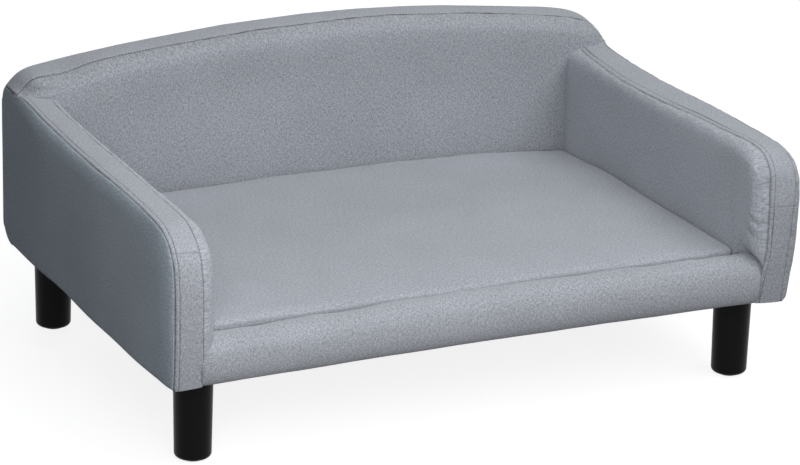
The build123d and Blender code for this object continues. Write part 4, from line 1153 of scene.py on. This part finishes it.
PINE = (0.50, 0.33, 0.17), (0.80, 0.64, 0.42)
finishes = {
    "pine": timber("pine_along_z", *PINE, (55.0, 55.0, 3.0)),
    "plywood": timber("plywood_sheet", (0.56, 0.42, 0.25), (0.78, 0.65, 0.45), (2.0, 22.0, 160.0)),
    "fibreboard": speckled("fibreboard", (0.20, 0.12, 0.06), (0.36, 0.23, 0.13), 900.0, 0.8, 0.1),
    "leg_plastic": speckled("moulded_black", (0.0022, 0.0022, 0.0028), (0.005, 0.005, 0.006), 1800.0,
                            0.34, 0.03, specular=0.07),
    "glide_plastic": speckled("glide_grey", (0.05, 0.05, 0.05), (0.09, 0.09, 0.09), 900.0, 0.5, 0.05),
    "zinc_steel": speckled("bright_zinc", (0.55, 0.56, 0.58), (0.78, 0.79, 0.80), 700.0, 0.32, 0.03,
                           1.0),
    "zip_metal": speckled("zip_nickel", (0.42, 0.42, 0.43), (0.62, 0.62, 0.63), 1200.0, 0.3, 0.02, 1.0),
    "dust_cloth": speckled("non_woven_black", (0.010, 0.010, 0.011), (0.030, 0.030, 0.032), 420.0, 0.9,
                           0.15),
    "zip_tape": speckled("zip_tape_grey", (0.16, 0.18, 0.20), (0.28, 0.30, 0.33), 1500.0, 0.85, 0.12),
    "cover_cloth": cloth_smooth}
finishes["foam"] = finishes["zip_tape"]
dress(tape, finishes["zip_tape"], ["zip_chain"], body="seat_cushion")
dress(dust, finishes["dust_cloth"], ["dust_sheet"])
stitch_row("zip_coil", coil_line, (0.0, 1.0, 0.0), 1.3 * MM, 1.6 * MM, 2.1 * MM, finishes["zip_tape"],
           "seat_cushion")

# %% Finishes by node
along_x = ("front_board", "rear_rail", "back_arch_rail", "corner_blocks")
along_y = ("side_rail_left", "side_rail_right", "arm_top_rail_left", "arm_top_rail_right", "deck_slats")
lengthwise = {**dict.fromkeys(along_x, timber("pine_along_x", *PINE, (3.0, 55.0, 55.0))),
              **dict.fromkeys(along_y, timber("pine_along_y", *PINE, (55.0, 3.0, 55.0)))}
slots = {part["node"]: part["material_slot"] for part in frame["record"]["subparts"]}
for name, node in frame["nodes"].items():
    node.data.materials.clear()
    node.data.materials.append(lengthwise.get(name, finishes[slots[name]]))
print("finishes given to", len(frame["nodes"]), "nodes")

# %% [markdown]
# ## Floor and light
# A plain studio: a wide soft key from the front right and above, a soft top lamp, weak fills from the
# front and the left, a dim one behind, and a pale floor. To the camera the floor and the world are
# white, apart from the soft shadow under the sofa. Other rays see a dimmer floor, so that the shaded
# left side stays as dark as it is in the picture.

# %% Floor
def empty_tree(owner):
    """The node tree of a material or a world, emptied."""
    owner.use_nodes = True
    owner.node_tree.nodes.clear()
    return owner.node_tree


def shader_node(tree, kind, *inputs):
    """A new node of a kind with its first inputs filled. Gives its result."""
    return plug(tree.nodes.new(kind), dict(enumerate(inputs))).outputs[0]


def by_ray(tree, end, unseen, seen):
    """Ends a tree: one shader for camera, glossy and transmission rays, and another for the rays that
    only carry light."""
    path = tree.nodes.new("ShaderNodeLightPath").outputs
    either = calc("MAXIMUM", path["Is Camera Ray"], path["Is Glossy Ray"])
    direct = calc("MAXIMUM", either, path["Is Transmission Ray"])
    plug(tree.nodes.new(end), {0: shader_node(tree, "ShaderNodeMixShader", direct, unseen, seen)})


floor_mesh = bpy.data.meshes.new("floor")
floor_mesh.from_pydata([(-9, -9, 0), (9, -9, 0), (9, 14, 0), (-9, 14, 0)], [], [(0, 1, 2, 3)])
floor = placed("floor", floor_mesh)
floor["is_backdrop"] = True
floor_material = bpy.data.materials.new("floor_white")
tree = empty_tree(floor_material)
lit = shader_node(tree, "ShaderNodeBsdfDiffuse", (0.28, 0.28, 0.28, 1))
glow = shader_node(tree, "ShaderNodeEmission", (1, 1, 1, 1), 0.855)
by_ray(tree, "ShaderNodeOutputMaterial",
       unseen=shader_node(tree, "ShaderNodeBsdfDiffuse", (0.13, 0.13, 0.135, 1)),
       seen=shader_node(tree, "ShaderNodeAddShader", lit, glow))
floor.data.materials.append(floor_material)

# %% World and lamps
scene.world = bpy.data.worlds.new("studio")
tree = empty_tree(scene.world)
by_ray(tree, "ShaderNodeOutputWorld",
       unseen=shader_node(tree, "ShaderNodeBackground", (0.72, 0.92, 1.1, 1), 0.07),
       seen=shader_node(tree, "ShaderNodeBackground", (1, 1, 1, 1), 1.0))


def area_lamp(name, place, size, power, target=(0, 0, 0.2)):
    """A square lamp at a place, turned to a target."""
    data = bpy.data.lights.new(name, "AREA")
    data.size, data.energy = size, power
    back = unit(np.subtract(place, target))
    right = unit(np.cross((0, 0, 1), back))
    stand(placed(name, data), right, np.cross(back, right), back, place)


area_lamp("key", (1.9, -1.7, 2.6), 1.8, 41)
area_lamp("front", (0.5, -3.0, 1.6), 1.4, 14)
area_lamp("top", (0.4, -0.3, 3.0), 2.2, 32.5)
area_lamp("fill", (-0.8, -1.6, 1.0), 0.9, 18.8, target=(0.1, 0, 0.2))
area_lamp("back", (0.8, 2.6, 1.7), 1.4, 14)
scene.view_settings.view_transform = "Standard"

# %% Sizes
low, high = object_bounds()
